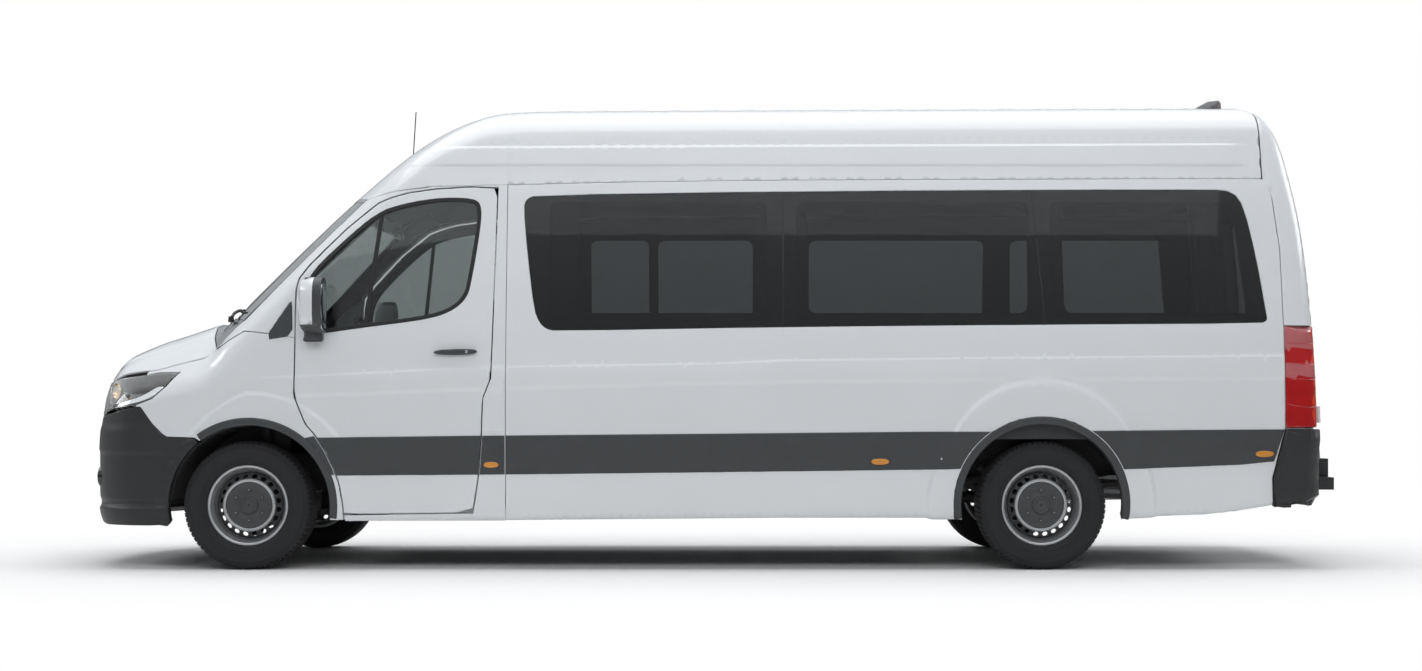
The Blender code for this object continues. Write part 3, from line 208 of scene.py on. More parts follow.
def soften(points, rounds=2, cut=0.25, sharp=()):
    """Rounds the corners of an outline, apart from the ones listed."""
    pts = [(p[0], p[1], i in sharp) for i, p in enumerate(points)]
    for _ in range(rounds):
        out = []
        for i, p in enumerate(pts):
            if p[2]:
                out.append(p)
                continue
            a, b = pts[i - 1], pts[(i + 1) % len(pts)]
            out += [(p[0] + (a[0] - p[0]) * cut, p[1] + (a[1] - p[1]) * cut, False),
                    (p[0] + (b[0] - p[0]) * cut, p[1] + (b[1] - p[1]) * cut, False)]
        pts = out
    return [(p[0], p[1]) for p in pts]


def grown(points, d):
    """The outline moved outward by d, or inward if d is negative."""
    pts = np.array([p[:2] for p in points], float)
    a = np.roll(pts, 1, axis=0)
    b = np.roll(pts, -1, axis=0)
    area = 0.5 * np.sum(pts[:, 0] * b[:, 1] - b[:, 0] * pts[:, 1])
    u = (pts - a) / np.maximum(np.linalg.norm(pts - a, axis=1), 1e-9)[:, None]
    w = (b - pts) / np.maximum(np.linalg.norm(b - pts, axis=1), 1e-9)[:, None]
    s = 1.0 if area > 0 else -1.0
    n1 = np.stack([u[:, 1], -u[:, 0]], 1) * s
    n2 = np.stack([w[:, 1], -w[:, 0]], 1) * s
    n = n1 + n2
    n /= np.maximum(np.linalg.norm(n, axis=1), 1e-9)[:, None]
    k = np.maximum(np.sum(n * n1, axis=1), 0.45)
    return [tuple(p) for p in pts + n * (d / k)[:, None]]


def arc(cx, cz, r, start, stop, n=40):
    return [(cx + r * math.cos(math.radians(start + (stop - start) * k / n)),
             cz + r * math.sin(math.radians(start + (stop - start) * k / n))) for k in range(n + 1)]


def inside(poly, q):
    """Which of the points q lie in the outline."""
    p = np.array(poly, float)
    r = np.roll(p, -1, axis=0)
    hit = np.zeros(len(q), bool)
    for (x0, y0), (x1, y1) in zip(p, r):
        if y0 == y1:
            continue
        c = ((y0 > q[:, 1]) != (y1 > q[:, 1])) & (q[:, 0] < (x1 - x0) * (q[:, 1] - y0) / (y1 - y0) + x0)
        hit ^= c
    return hit


def edge_distance(loops, q):
    """Distance from each point to the nearest side of the outlines."""
    best = np.full(len(q), 1e9)
    for loop in loops:
        a = np.array(loop, float)
        b = np.roll(a, -1, axis=0)
        d = b - a
        n = np.maximum(np.sum(d * d, axis=1), 1e-12)
        for k in range(0, len(q), 2000):
            r = q[k:k + 2000, None, :] - a[None]
            t = np.clip(np.sum(r * d[None], axis=2) / n, 0, 1)
            best[k:k + 2000] = np.minimum(best[k:k + 2000],
                                          np.min(np.linalg.norm(r - t[..., None] * d[None], axis=2), axis=1))
    return best


def fill(outline, holes, step, rings=(), lines=()):
    """Triangles over a flat outline with holes: its points and triangles."""
    loops = [outline] + list(holes)
    pts, edges, bounds = [], [], []
    for loop in loops:
        n0, n = len(pts), len(loop)
        pts += [tuple(p) for p in loop]
        edges += [(n0 + i, n0 + (i + 1) % n) for i in range(n)]
        bounds.append(list(range(n0, n0 + n)))
    extra = []
    for r in rings:
        extra += grown(outline, -r)
        for h in holes:
            extra += grown(h, r)
    q = np.array(extra) if extra else np.zeros((0, 2))
    if len(q):
        keep = edge_distance(loops, q) > min(rings) * 0.8
        q = q[keep]
    o = np.array(outline)
    gx = np.arange(o[:, 0].min() + step[0] * 0.5, o[:, 0].max(), step[0])
    gz = np.arange(o[:, 1].min() + step[1] * 0.5, o[:, 1].max(), step[1])
    g = np.array([(x + (step[0] * 0.5 if j % 2 else 0.0), z) for j, z in enumerate(gz)
                  for x in gx]).reshape(-1, 2)
    rows = []
    for row in lines:
        if callable(row[0]):
            fx = np.arange(o[:, 0].min(), o[:, 0].max(), 0.03)
            row = np.concatenate([np.stack([fx, row[0](fx) + t], 1) for t in row[1]])
        row = np.asarray(row, float)
        if len(g):
            far = np.array([np.min(np.sum((row - q0) ** 2, axis=1)) for q0 in g]) > (0.55 * min(step)) ** 2
            g = g[far]
        rows.append(row)
    g = np.concatenate([g] + rows) if rows else g
    if len(g):
        lim = max(max(rings, default=0) * 1.6, 0.35 * min(step))
        g = g[edge_distance(loops, g) > lim]
    q = np.concatenate([q, g]) if len(g) else q
    ok = inside(outline, q)
    for h in holes:
        ok &= ~inside(h, q)
    pts += [tuple(p) for p in q[ok]]
    res = delaunay_2d_cdt([Vector(p) for p in pts], edges, [], 0, 1e-7, True)
    v = np.array([tuple(p) for p in res[0]])
    tri = np.array([f for f in res[2] if len(f) == 3])
    mid = v[tri].mean(axis=1)
    ok = inside(outline, mid)
    for h in holes:
        ok &= ~inside(h, mid)
    tri = tri[ok]
    a, b, c = v[tri[:, 0]], v[tri[:, 1]], v[tri[:, 2]]
    area = (b[:, 0] - a[:, 0]) * (c[:, 1] - a[:, 1]) - (b[:, 1] - a[:, 1]) * (c[:, 0] - a[:, 0])
    tri = tri[np.abs(area) > 1e-10]
    return v, tri


def panel(to, outline, holes=(), step=(0.06, 0.03), lift=0.0, depth=0.016, edge=0.004, shape=None, lines=(),
          raw=False, mats=(0, 0, 0)):
    """A skin over the body's surface inside an outline, with a rounded rim and an inner face.

    lift raises the outer face, depth is how far the inner one lies below the body's surface, shape(p) gives a
    further height of the outer face, and mats are the material slots of outer face, rim and inner face.
    Returns points, faces, normals and slots."""
    if not raw:
        outline = dense(outline, 0.022)
        holes = [dense(h, 0.022) for h in holes]
    rings = (0.3 * edge, 1.1 * edge) if edge else ()
    uv, tri = fill(outline, holes, step, rings, lines)
    p0 = to.out(uv[:, 0], uv[:, 1])
    n0 = normals_at(p0)
    n = n0.copy()
    rise = np.full(len(p0), lift)
    if shape is not None:
        rise = rise + shape(p0)
        e = 0.002
        g = np.stack([(shape(p0 + d) - shape(p0 - d)) / (2 * e) for d in np.eye(3) * e], 1)
        g -= np.sum(g * n0, axis=1)[:, None] * n0
        n = n0 - g
        n /= np.linalg.norm(n, axis=1)[:, None]
    a, b, c = p0[tri[:, 0]], p0[tri[:, 1]], p0[tri[:, 2]]
    facing = np.sum(np.cross(b - a, c - a) * n0[tri[:, 0]], axis=1) < 0
    tri[facing] = tri[facing][:, [0, 2, 1]]
    # boundary sides and the direction out over each
    count = {}
    for t in tri:
        for i, j, k in ((t[0], t[1], t[2]), (t[1], t[2], t[0]), (t[2], t[0], t[1])):
            count[(i, j)] = k
    border = [(i, j, k) for (i, j), k in count.items() if (j, i) not in count]
    out = np.zeros_like(p0)
    for i, j, k in border:
        t = p0[j] - p0[i]
        w = p0[i] - p0[k]
        w = w - t * np.dot(w, t) / max(np.dot(t, t), 1e-12)
        w /= max(np.linalg.norm(w), 1e-9)
        out[i] += w
        out[j] += w
    rim = np.array(sorted({i for s in border for i in s[:2]}))
    out[rim] /= np.maximum(np.linalg.norm(out[rim], axis=1), 1e-9)[:, None]
    if edge:
        loops = [outline] + list(holes)
        dist = edge_distance(loops, uv)
        near = np.where((dist < edge) & (dist > 1e-7))[0]
        d = np.zeros(len(p0))
        d[near] = dist[near]
        who = np.concatenate([near, rim])
        for i in near:
            j = rim[np.argmin(np.sum((p0[rim] - p0[i]) ** 2, axis=1))]
            out[i] = out[j]
        s = np.clip((edge - d[who]) / edge, 0, 1)
        rise[who] -= edge * (1 - np.sqrt(np.maximum(1 - s ** 2, 0))) * 0.8
        n[who] = n[who] * np.sqrt(1 - 0.8 * s ** 2)[:, None] + out[who] * (0.9 * s)[:, None]
        n /= np.linalg.norm(n, axis=1)[:, None]
    top = p0 + n0 * rise[:, None]
    low = p0 - n0 * depth
    m = len(p0)
    at = {i: q for q, i in enumerate(rim)}
    verts = np.concatenate([top, low, top[rim], low[rim]])
    norms = np.concatenate([n, -n0, out[rim], out[rim]])
    base = 2 * m
    faces = [tuple(t) for t in tri] + [(t[0] + m, t[2] + m, t[1] + m) for t in tri]
    faces += [(base + at[j], base + at[i], base + len(rim) + at[i], base + len(rim) + at[j]) for i, j,
              k in border]
    slots = [mats[0]] * len(tri) + [mats[2]] * len(tri) + [mats[1]] * len(border)
    return verts, faces, norms, slots


def merge(*parts):
    verts, faces, norms, slots, n = [], [], [], [], 0
    for v, f, m, s in parts:
        verts.append(v)
        norms.append(m)
        faces += [tuple(i + n for i in t) for t in f]
        slots += list(s)
        n += len(v)
    return np.concatenate(verts), faces, np.concatenate(norms), slots


def flip(part):
    """The same piece on the van's other side."""
    v, f, n, s = part
    k = np.array([1.0, -1.0, 1.0])
    return v * k, [t[::-1] for t in f], n * k, s


def mesh(name, verts, faces, kinds, slots):
    data = bpy.data.meshes.new(name)
    data.from_pydata([(float(p[0]) + X_SHIFT, float(p[1]), float(p[2])) for p in verts], [],
                     [tuple(int(i) for i in t) for t in faces])
    for kind in kinds:
        data.materials.append(LOOKS[kind])
    data.polygons.foreach_set("material_index", np.array(slots, dtype=np.int32))
    obj = bpy.data.objects.new(name, data)
    bpy.context.scene.collection.objects.link(obj)
    return obj


def put(name, part, kinds, body="body", over=()):
    """Makes the object, gives it its materials and lets it ride on its body."""
    v, f, n, s = part
    obj = mesh(name, v, f, kinds, s)
    data = obj.data
    data.polygons.foreach_set("use_smooth", np.ones(len(f), dtype=bool))
    data.update()
    data.normals_split_custom_set_from_vertices([tuple(map(float, q)) for q in n])
    return settle(obj, body, over)


def same(part):
    return part


def turns(n):
    """The angles of n even steps round a circle."""
    return [2 * math.pi * k / n for k in range(n)]


SIDES = (("left", same), ("right", flip))
EDGE_ONLY = (9, 9)      # a step wider than the van, so that only the outline gets points
OVER_SOLID = 0.0012     # how far a skin lies over the solid that it dresses


def settle(obj, body, over):
    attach(obj, body)
    if over:
        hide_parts(*over)
    return obj


def solid(name, verts, faces, kinds, body, over, sharp, slots, bevel):
    """Makes an object from plain points and faces, smooth but for its sharp edges."""
    obj = mesh(name, verts, faces, kinds, slots)
    if bevel:
        mod = obj.modifiers.new("edge", "BEVEL")
        mod.width, mod.segments, mod.limit_method, mod.angle_limit = bevel, 2, "ANGLE", math.radians(40)
        graph = bpy.context.evaluated_depsgraph_get()
        new = bpy.data.meshes.new_from_object(obj.evaluated_get(graph))
        obj.modifiers.clear()
        obj.data = new
    obj.data.polygons.foreach_set("use_smooth", np.ones(len(obj.data.polygons), dtype=bool))
    obj.data.set_sharp_from_angle(angle=math.radians(sharp))
    return settle(obj, body, over)


class Pile:
    """Gathers simple forms into one object."""
    def __init__(self):
        self.v, self.f, self.s = [], [], []

    def add(self, verts, faces, slot=0, flipped=False):
        n = len(self.v)
        self.v += [tuple(map(float, p)) for p in verts]
        self.f += [tuple(int(i) + n for i in (t[::-1] if flipped else t)) for t in faces]
        self.s += [slot] * len(faces)

    def rings(self, loops, slot=0, closed=False, caps=True):
        n, m = len(loops), len(loops[0])
        faces = []
        for i in range(n if closed else n - 1):
            j = (i + 1) % n
            faces += [(i * m + k, j * m + k, j * m + (k + 1) % m, i * m + (k + 1) % m) for k in range(m)]
        if caps and not closed:
            faces += [tuple(range(m)), tuple(range((n - 1) * m, n * m))[::-1]]
        v = [p for loop in loops for p in loop]
        a = np.array(v, float)
        vol = 0.0
        for t in faces:
            for k in range(1, len(t) - 1):
                vol += float(np.dot(a[t[0]], np.cross(a[t[k]], a[t[k + 1]])))
        self.add(v, faces, slot, vol < 0)

    def lathe(self, profile, centre, slot, sides, side):
        """A profile of (radius, y) turned about the wheel's axis; y grows outward on the given side."""
        self.rings([[(centre[0] + r * math.cos(t), centre[1] + side * y, centre[2] + r * math.sin(t))
                     for r, y in profile] for t in turns(sides)], slot, closed=True)

    def rod(self, a, b, r, slot=0, sides=16, end=None):
        a, b = np.array(a, float), np.array(b, float)
        d = (b - a) / np.linalg.norm(b - a)
        u = np.cross(d, (0, 0, 1) if abs(d[2]) < 0.9 else (1, 0, 0))
        u /= np.linalg.norm(u)
        w = np.cross(d, u)
        end = r if end is None else end
        self.rings([[p + q * (math.cos(t) * u + math.sin(t) * w)
                     for t in turns(sides)] for p, q in ((a, r), (b, end))], slot)

    def tube(self, path, r, slot=0, sides=10):
        """A round bar along a path of points."""
        p = np.array(path, float)
        t = np.gradient(p, axis=0)
        t /= np.linalg.norm(t, axis=1)[:, None]
        u = np.cross(t[0], (0.13, 0.21, 0.97))
        loops = []
        for q, d in zip(p, t):
            u = u - d * np.dot(u, d)
            u /= np.linalg.norm(u)
            w = np.cross(d, u)
            loops.append([q + r * (math.cos(a) * u + math.sin(a) * w)
                          for a in turns(sides)])
        self.rings(loops, slot)

    def slab(self, points, axis, lo, hi, slot=0):
        place = {"y": lambda p, t: (p[0], t, p[1]), "x": lambda p, t: (t, p[0], p[1]),
                 "z": lambda p, t: (p[0], p[1], t)}[axis]
        self.rings([[place(p, lo) for p in points], [place(p, hi) for p in points]], slot)

    def mirrored(self):
        other = Pile()
        other.v = [(p[0], -p[1], p[2]) for p in self.v]
        other.f = [t[::-1] for t in self.f]
        other.s = list(self.s)
        return other

    def put(self, name, kinds, body="body", over=(), slot=None, sharp=35, bevel=0.0):
        return solid(name, self.v, self.f, kinds, body, over, sharp, self.s, bevel)


# ---- materials ----
def look(name, colour, rough=0.5, metal=0.0, coat=0.0, coat_rough=0.03, clear=0.0, ior=1.5, grain=0.0,
         size=400.0, tone=0.05, blend=8.0, sheen=0.0, weave=False, vary=0.06, spec=0.5):
    """A procedural material: colour and roughness drift over the surface, and a fine bump gives its grain."""
    mat = bpy.data.materials.new(name)
    mat.use_nodes = True
    tree = mat.node_tree
    shader = tree.nodes["Principled BSDF"]
    place = tree.nodes.new("ShaderNodeTexCoord")
    drift = tree.nodes.new("ShaderNodeTexNoise")
    drift.inputs["Scale"].default_value = blend
    drift.inputs["Detail"].default_value = 4.0
    tree.links.new(place.outputs["Object"], drift.inputs["Vector"])
    ramp = tree.nodes.new("ShaderNodeValToRGB")
    dark = tuple(c * (1 - tone) for c in colour)
    pale = tuple(min(1.0, c * (1 + tone)) for c in colour)
    ramp.color_ramp.elements[0].position, ramp.color_ramp.elements[0].color = 0.3, dark + (1,)
    ramp.color_ramp.elements[1].position, ramp.color_ramp.elements[1].color = 0.7, pale + (1,)
    tree.links.new(drift.outputs["Fac"], ramp.inputs["Fac"])
    tree.links.new(ramp.outputs["Color"], shader.inputs["Base Color"])
    span = tree.nodes.new("ShaderNodeMapRange")
    span.inputs["To Min"].default_value = max(0.0, rough - vary)
    span.inputs["To Max"].default_value = min(1.0, rough + vary)
    tree.links.new(drift.outputs["Fac"], span.inputs["Value"])
    tree.links.new(span.outputs["Result"], shader.inputs["Roughness"])
    shader.inputs["Metallic"].default_value = metal
    shader.inputs["Coat Weight"].default_value = coat
    shader.inputs["Coat Roughness"].default_value = coat_rough
    shader.inputs["Transmission Weight"].default_value = clear
    shader.inputs["IOR"].default_value = ior
    shader.inputs["Sheen Weight"].default_value = sheen
    shader.inputs["Specular IOR Level"].default_value = spec
    if grain:
        bump = tree.nodes.new("ShaderNodeBump")
        bump.inputs["Strength"].default_value = grain
        bump.inputs["Distance"].default_value = 0.001
        if weave:
            one = tree.nodes.new("ShaderNodeTexWave")
            two = tree.nodes.new("ShaderNodeTexWave")
            two.bands_direction = "Z"
            one.bands_direction = "Y"
            for w in (one, two):
                w.inputs["Scale"].default_value = size
                w.inputs["Distortion"].default_value = 0.6
                tree.links.new(place.outputs["Object"], w.inputs["Vector"])
            mix = tree.nodes.new("ShaderNodeMath")
            mix.operation = "MULTIPLY"
            tree.links.new(one.outputs["Fac"], mix.inputs[0])
            tree.links.new(two.outputs["Fac"], mix.inputs[1])
            tree.links.new(mix.outputs["Value"], bump.inputs["Height"])
        else:
            fine = tree.nodes.new("ShaderNodeTexNoise")
            fine.inputs["Scale"].default_value = size
            fine.inputs["Detail"].default_value = 3.0
            tree.links.new(place.outputs["Object"], fine.inputs["Vector"])
            tree.links.new(fine.outputs["Fac"], bump.inputs["Height"])
        tree.links.new(bump.outputs["Normal"], shader.inputs["Normal"])
    return mat


LOOKS = {
    "paint": look("van_paint", (0.700, 0.718, 0.735), 0.32, coat=0.9, coat_rough=0.04, grain=0.015, size=90.0,
                  tone=0.012, blend=1.5, vary=0.03),
    "inner_paint": look("van_paint_inner", (0.50, 0.51, 0.52), 0.45, grain=0.05, size=200.0, tone=0.03),
    "plastic": look("dark_moulding", (0.042, 0.045, 0.048), 0.46, grain=0.35, size=900.0, tone=0.08,
                    vary=0.05),
    "bumper": look("dark_bumper", (0.016, 0.0165, 0.017), 0.50, grain=0.35, size=900.0, tone=0.08, vary=0.05),
    "gloss_black": look("gloss_black", (0.008, 0.008, 0.009), 0.12, coat=0.6, grain=0.02, size=300.0,
                        tone=0.2, vary=0.03),
    "black": look("black_rubber_trim", (0.012, 0.012, 0.013), 0.55, grain=0.25, size=700.0, tone=0.15),
    "trim": look("interior_trim", (0.030, 0.031, 0.033), 0.62, grain=0.4, size=600.0, tone=0.10),
    "lining": look("headlining", (0.060, 0.061, 0.064), 0.85, grain=0.5, size=500.0, tone=0.08),
    "dash": look("dashboard_skin", (0.022, 0.023, 0.025), 0.55, grain=0.5, size=450.0, tone=0.12),
    "glass": look("tinted_glass", (0.17, 0.18, 0.185), 0.02, clear=1.0, ior=1.45, tone=0.02, vary=0.004),
    "cab_glass": look("cab_glass", (0.36, 0.39, 0.39), 0.015, clear=1.0, ior=1.45, tone=0.01, vary=0.004),
    "lens": look("clear_lens", (0.93, 0.95, 0.96), 0.02, clear=1.0, ior=1.45, tone=0.01, vary=0.004),
    "red": look("red_lens", (0.55, 0.010, 0.012), 0.10, clear=0.25, coat=0.8, grain=0.3, size=120.0,
                tone=0.12, vary=0.03),
    "orange_red": look("orange_red_lens", (0.85, 0.055, 0.012), 0.12, clear=0.2, coat=0.8, grain=0.3,
                       size=120.0, tone=0.1, vary=0.03),
    "pale_red": look("pale_red_lens", (0.60, 0.16, 0.17), 0.10, clear=0.25, coat=0.8, grain=0.3, size=120.0,
                     tone=0.1, vary=0.03),
    "amber": look("amber_lens", (0.62, 0.24, 0.015), 0.15, coat=0.8, grain=0.4, size=150.0, tone=0.15,
                  vary=0.03),
    "chrome": look("bright_reflector", (0.80, 0.81, 0.82), 0.10, metal=1.0, grain=0.05, size=60.0, tone=0.03,
                   vary=0.04),
    "warm_reflector": look("warm_reflector", (0.72, 0.50, 0.30), 0.16, metal=1.0, grain=0.5, size=240.0,
                           tone=0.12, vary=0.05),
    "mirror_glass": look("mirror_glass", (0.55, 0.57, 0.60), 0.03, metal=1.0, tone=0.02, vary=0.01),
    "wheel_cap": look("dark_wheel_cap", (0.050, 0.052, 0.055), 0.45, grain=0.25, size=700.0, tone=0.08,
                      vary=0.05),
    "silver": look("silver_wheel_paint", (0.46, 0.47, 0.48), 0.34, metal=0.75, coat=0.3, grain=0.08,
                   size=500.0, tone=0.06, vary=0.06),
    "wheel_dark": look("dark_wheel_disc", (0.085, 0.088, 0.092), 0.42, metal=0.4, grain=0.12, size=500.0,
                       tone=0.10),
    "tyre": look("tyre_rubber", (0.013, 0.013, 0.014), 0.78, grain=0.35, size=260.0, tone=0.22, blend=5.0,
                 vary=0.08),
    "steel": look("bare_steel", (0.30, 0.30, 0.31), 0.45, metal=0.9, grain=0.3, size=160.0, tone=0.15,
                  vary=0.12),
    "dark_steel": look("dark_iron", (0.045, 0.044, 0.043), 0.60, metal=0.5, grain=0.5, size=120.0, tone=0.25,
                       vary=0.12),
    "under": look("underbody_coat", (0.030, 0.030, 0.031), 0.75, grain=0.6, size=140.0, tone=0.2),
    "cloth": look("seat_cloth", (0.034, 0.036, 0.040), 0.90, grain=0.8, size=420.0, tone=0.14, sheen=0.25,
                  weave=True),
    "cloth_side": look("seat_side_cloth", (0.020, 0.021, 0.023), 0.88, grain=0.6, size=500.0, tone=0.12,
                       sheen=0.2, weave=True),
    "plate": look("blank_plate", (0.62, 0.62, 0.60), 0.40, grain=0.10, size=120.0, tone=0.02),
}

# ---- outlines seen from the left side, (x, z) ----
DOOR = [(0.264, 1.244), (0.264, 0.943), (0.327, 0.795), (0.381, 0.732), (0.435, 0.647), (0.480, 0.548),
        (0.507, 0.467), (0.525, 0.359), (0.530, 0.303), (1.227, 0.313), (1.260, 0.513), (1.275, 0.731),
        (1.281, 0.931), (1.325, 1.040), (1.345, 1.699), (1.352, 2.085), (1.200, 2.092), (1.013, 2.080),
        (0.870, 2.060), (0.771, 2.033), (0.700, 2.005), (0.645, 1.961), (0.524, 1.863), (0.409, 1.747),
        (0.327, 1.660), (0.277, 1.589), (0.264, 1.520)]
DOOR_WINDOW = [(0.300, 1.285), (0.300, 1.500), (0.345, 1.610), (0.430, 1.705), (0.560, 1.830),
               (0.700, 1.945), (0.800, 1.985), (0.960, 2.018), (1.100, 2.030), (1.235, 2.020), (1.262, 1.975),
               (1.255, 1.850), (1.215, 1.590), (1.190, 1.480), (1.100, 1.405), (0.960, 1.365), (0.640, 1.325),
               (0.400, 1.290)]
GUTTER = [(0.655, 2.042), (0.80, 2.072), (1.00, 2.096), (1.41, 2.106), (2.10, 2.122), (2.90, 2.132),
          (4.40, 2.138), (5.55, 2.141)]
SIDE_GLASS = [(1.676, 1.300), (1.625, 1.312), (1.590, 1.345), (1.560, 1.420), (1.520, 1.740), (1.498, 1.980),
              (1.510, 2.022), (1.560, 2.046), (2.915, 2.068), (5.270, 2.080), (5.385, 2.066), (5.440, 1.985),
              (5.500, 1.700), (5.545, 1.400), (5.552, 1.360), (5.520, 1.342), (4.340, 1.335), (2.915, 1.322)]
REAR_SEAM = [(5.642, 1.310), (5.632, 1.75), (5.600, 2.02), (5.575, 2.20)]
BUMPER_TOP = [(-0.767, 0.852), (-0.607, 0.887), (-0.576, 0.884), (-0.512, 0.795), (-0.457, 0.740),
              (-0.430, 0.723), (-0.276, 0.718)]
SLIDING = [(1.435, 0.330), (1.435, 2.070), (2.885, 2.090), (2.885, 0.345)]
BONNET_SIDE = [(-0.80, -0.645), (-0.72, -0.690), (-0.55, -0.765), (-0.30, -0.790), (-0.215, -0.790)]
BONNET_BACK = [(-0.215, -0.790), (-0.290, -0.55), (-0.345, -0.28), (-0.360, 0.0)]
SEAM_B, SHUT = 1.407, 0.006
HALF = SHUT / 2
upper_crease = curve([(0.525, 1.064), (1.334, 1.101), (2.572, 1.123), (2.931, 1.138), (5.634, 1.165)])
lower_crease = curve([(0.362, 0.949), (1.269, 0.981), (2.572, 1.014), (3.712, 1.029), (5.640, 1.040)])
gutter_z = curve(GUTTER)
side = Side()


def ease(t):
    t = np.clip(t, 0, 1)
    return t * t * (3 - 2 * t)


def flare_radius(arch, x, z):
    """Where an arch's flare ends: the rear one widens upward, the front one narrows ahead of the wheel."""
    if arch is ARCH_REAR:
        return 0.615 + 0.065 * np.clip((z - 0.75) / 0.29, 0, 1)
    return 0.610 - 0.11 * np.clip(-x / 0.30, 0, 1)


def side_shape(p):
    """Pressed lines and wheel flares of the sides, in height over the plain surface."""
    x, z = p[:, 0], p[:, 2]
    fade = ease((x - 0.02) / 0.35) * ease((5.80 - x) / 0.10)
    upper = 0.0055 * ease((upper_crease(x) - z) / 0.016 + 0.5)
    lower = 0.0065 * ease((lower_crease(x) - z) / 0.030 + 0.5)
    d = (upper - lower) * fade
    r = np.hypot(x - ARCH_REAR[0], z - ARCH_REAR[1])
    d = d + 0.011 * ease((flare_radius(ARCH_REAR, x, z) - r) / 0.030 + 0.5)
    r = np.hypot(x - ARCH_FRONT[0], z - ARCH_FRONT[1])
    return d + 0.009 * ease((flare_radius(ARCH_FRONT, x, z) - r) / 0.028 + 0.5) * ease((z - 0.45) / 0.1)


def flare_rows(arch):
    """Rows of points along the edge of an arch's flare."""
    out = []
    for off in (-0.016, -0.006, 0.006, 0.016):
        for a in np.radians(np.linspace(-10, 190, 90)):
            r = 0.615
            for _ in range(12):
                r = float(flare_radius(arch, arch[0] + r * math.cos(a), arch[1] + r * math.sin(a)))
            out.append((arch[0] + (r + off) * math.cos(a), arch[1] + (r + off) * math.sin(a)))
    return np.array(out)


def top_z(points):
    """Points of the outer skin above plan points (x, y)."""
    x, y = np.array([p[0] for p in points], float), np.array([p[1] for p in points], float)
    z = solve(lambda t: body_field(x, y, t), np.full_like(x, 0.75), np.full_like(x, 3.0))
    return np.stack([x, y, z], 1)


def face_x(points, ahead=True):
    """Points of the outer skin at (y, z), seen from ahead or from behind."""
    y, z = np.array([p[0] for p in points], float), np.array([p[1] for p in points], float)
    s, start = (-1.0, 1.2) if ahead else (1.0, 4.6)
    t = solve(lambda q: body_field(start + s * q, y, z), np.zeros_like(y), np.full_like(y, 3.0))
    return np.stack([start + s * t, y, z], 1)


CREASES = [(upper_crease, (-0.009, -0.003, 0.003, 0.009)), (lower_crease, (-0.016, -0.005, 0.005, 0.016)),
           flare_rows(ARCH_FRONT), flare_rows(ARCH_REAR)]
# ---- left wing ----
line = top_z(dense([(-0.60, -0.746)] + BONNET_SIDE[2:], 0.03)[:14])
over_bonnet = [(p[0], p[2] - HALF) for p in line if -0.60 <= p[0] <= -0.245]
wing_line = (over_bonnet + [(-0.245, 1.188), (-0.16, 1.2345), (-0.02, 1.299), (0.20, 1.2745), (0.258, 1.262)]
             + [(0.258, 0.9415), (0.3215, 0.7915), (0.3755, 0.7285), (0.4295, 0.6435), (0.4742, 0.5465),
                (0.5012, 0.466), (0.519, 0.3585), (0.524, 0.300), (0.5245, 0.270), (0.4545, 0.270)]
             + arc(ARCH_FRONT[0], ARCH_FRONT[1], ARCH_FRONT[2] + 0.006, -10, 127, 46)
             + [(-0.276, 0.720), (-0.430, 0.725), (-0.457, 0.742), (-0.512, 0.797), (-0.576, 0.886),
                (-0.603, 0.8895), (-0.600, 0.8965), (-0.513, 0.9305), (-0.440, 1.0015), (-0.3925, 1.0795),
                (-0.515, 1.0805), (-0.60, 1.0660)])
wing = panel(side, wing_line, step=(0.05, 0.03), depth=0.016, shape=side_shape, mats=(0, 0, 1), lines=CREASES)
put("wing_left_skin", wing, ("paint", "under"), over=("wing_left",))
put("wing_right_skin", flip(wing), ("paint", "under"), over=("wing_right",))

# ---- cab side: pillar, door frame and sill ----
screen_z = np.linspace(1.372, 2.034, 12)
screen_y = -(0.812 - 0.096 * (screen_z - 1.368) / 0.67)
edge3 = face_x(list(zip(screen_y, screen_z)))
pillar = [(p[0], p[2]) for p in edge3]
frame_line = ([(-0.243, 1.1915), (-0.16, 1.2375), (-0.02, 1.3025), (0.20, 1.2775), (0.2565, 1.2655)]
              + [(0.2585, 1.520), (0.2715, 1.591), (0.3220, 1.6640), (0.4045, 1.7513), (0.5200, 1.8675),
                 (0.6405, 1.9658), (0.6970, 2.0100), (0.7690, 2.0388), (0.8690, 2.0662), (1.0125, 2.0862),
                 (1.2000, 2.0982), (1.3580, 2.0912), (1.3510, 1.699), (1.3310, 1.0395), (1.2870, 0.9305),
                 (1.2810, 0.7308), (1.2660, 0.5125), (1.2330, 0.3070), (0.536, 0.2972), (0.536, 0.267),
                 (SEAM_B - 0.002, 0.268), (SEAM_B - 0.002, 2.1035), (1.00, 2.0935), (0.80, 2.0695),
                 (0.655, 2.0395), (0.622, 2.0395)] + pillar[::-1] + [(-0.10, 1.330), (-0.16, 1.272),
                                                                     (-0.215, 1.217)])
cab_side = panel(side, frame_line, step=(0.03, 0.02), lift=OVER_SOLID, depth=0.0, shape=side_shape,
                 edge=0.002, mats=(0, 0, 0), lines=CREASES)
put("cab_side_left", cab_side, ("paint",))
put("cab_side_right", flip(cab_side), ("paint",))

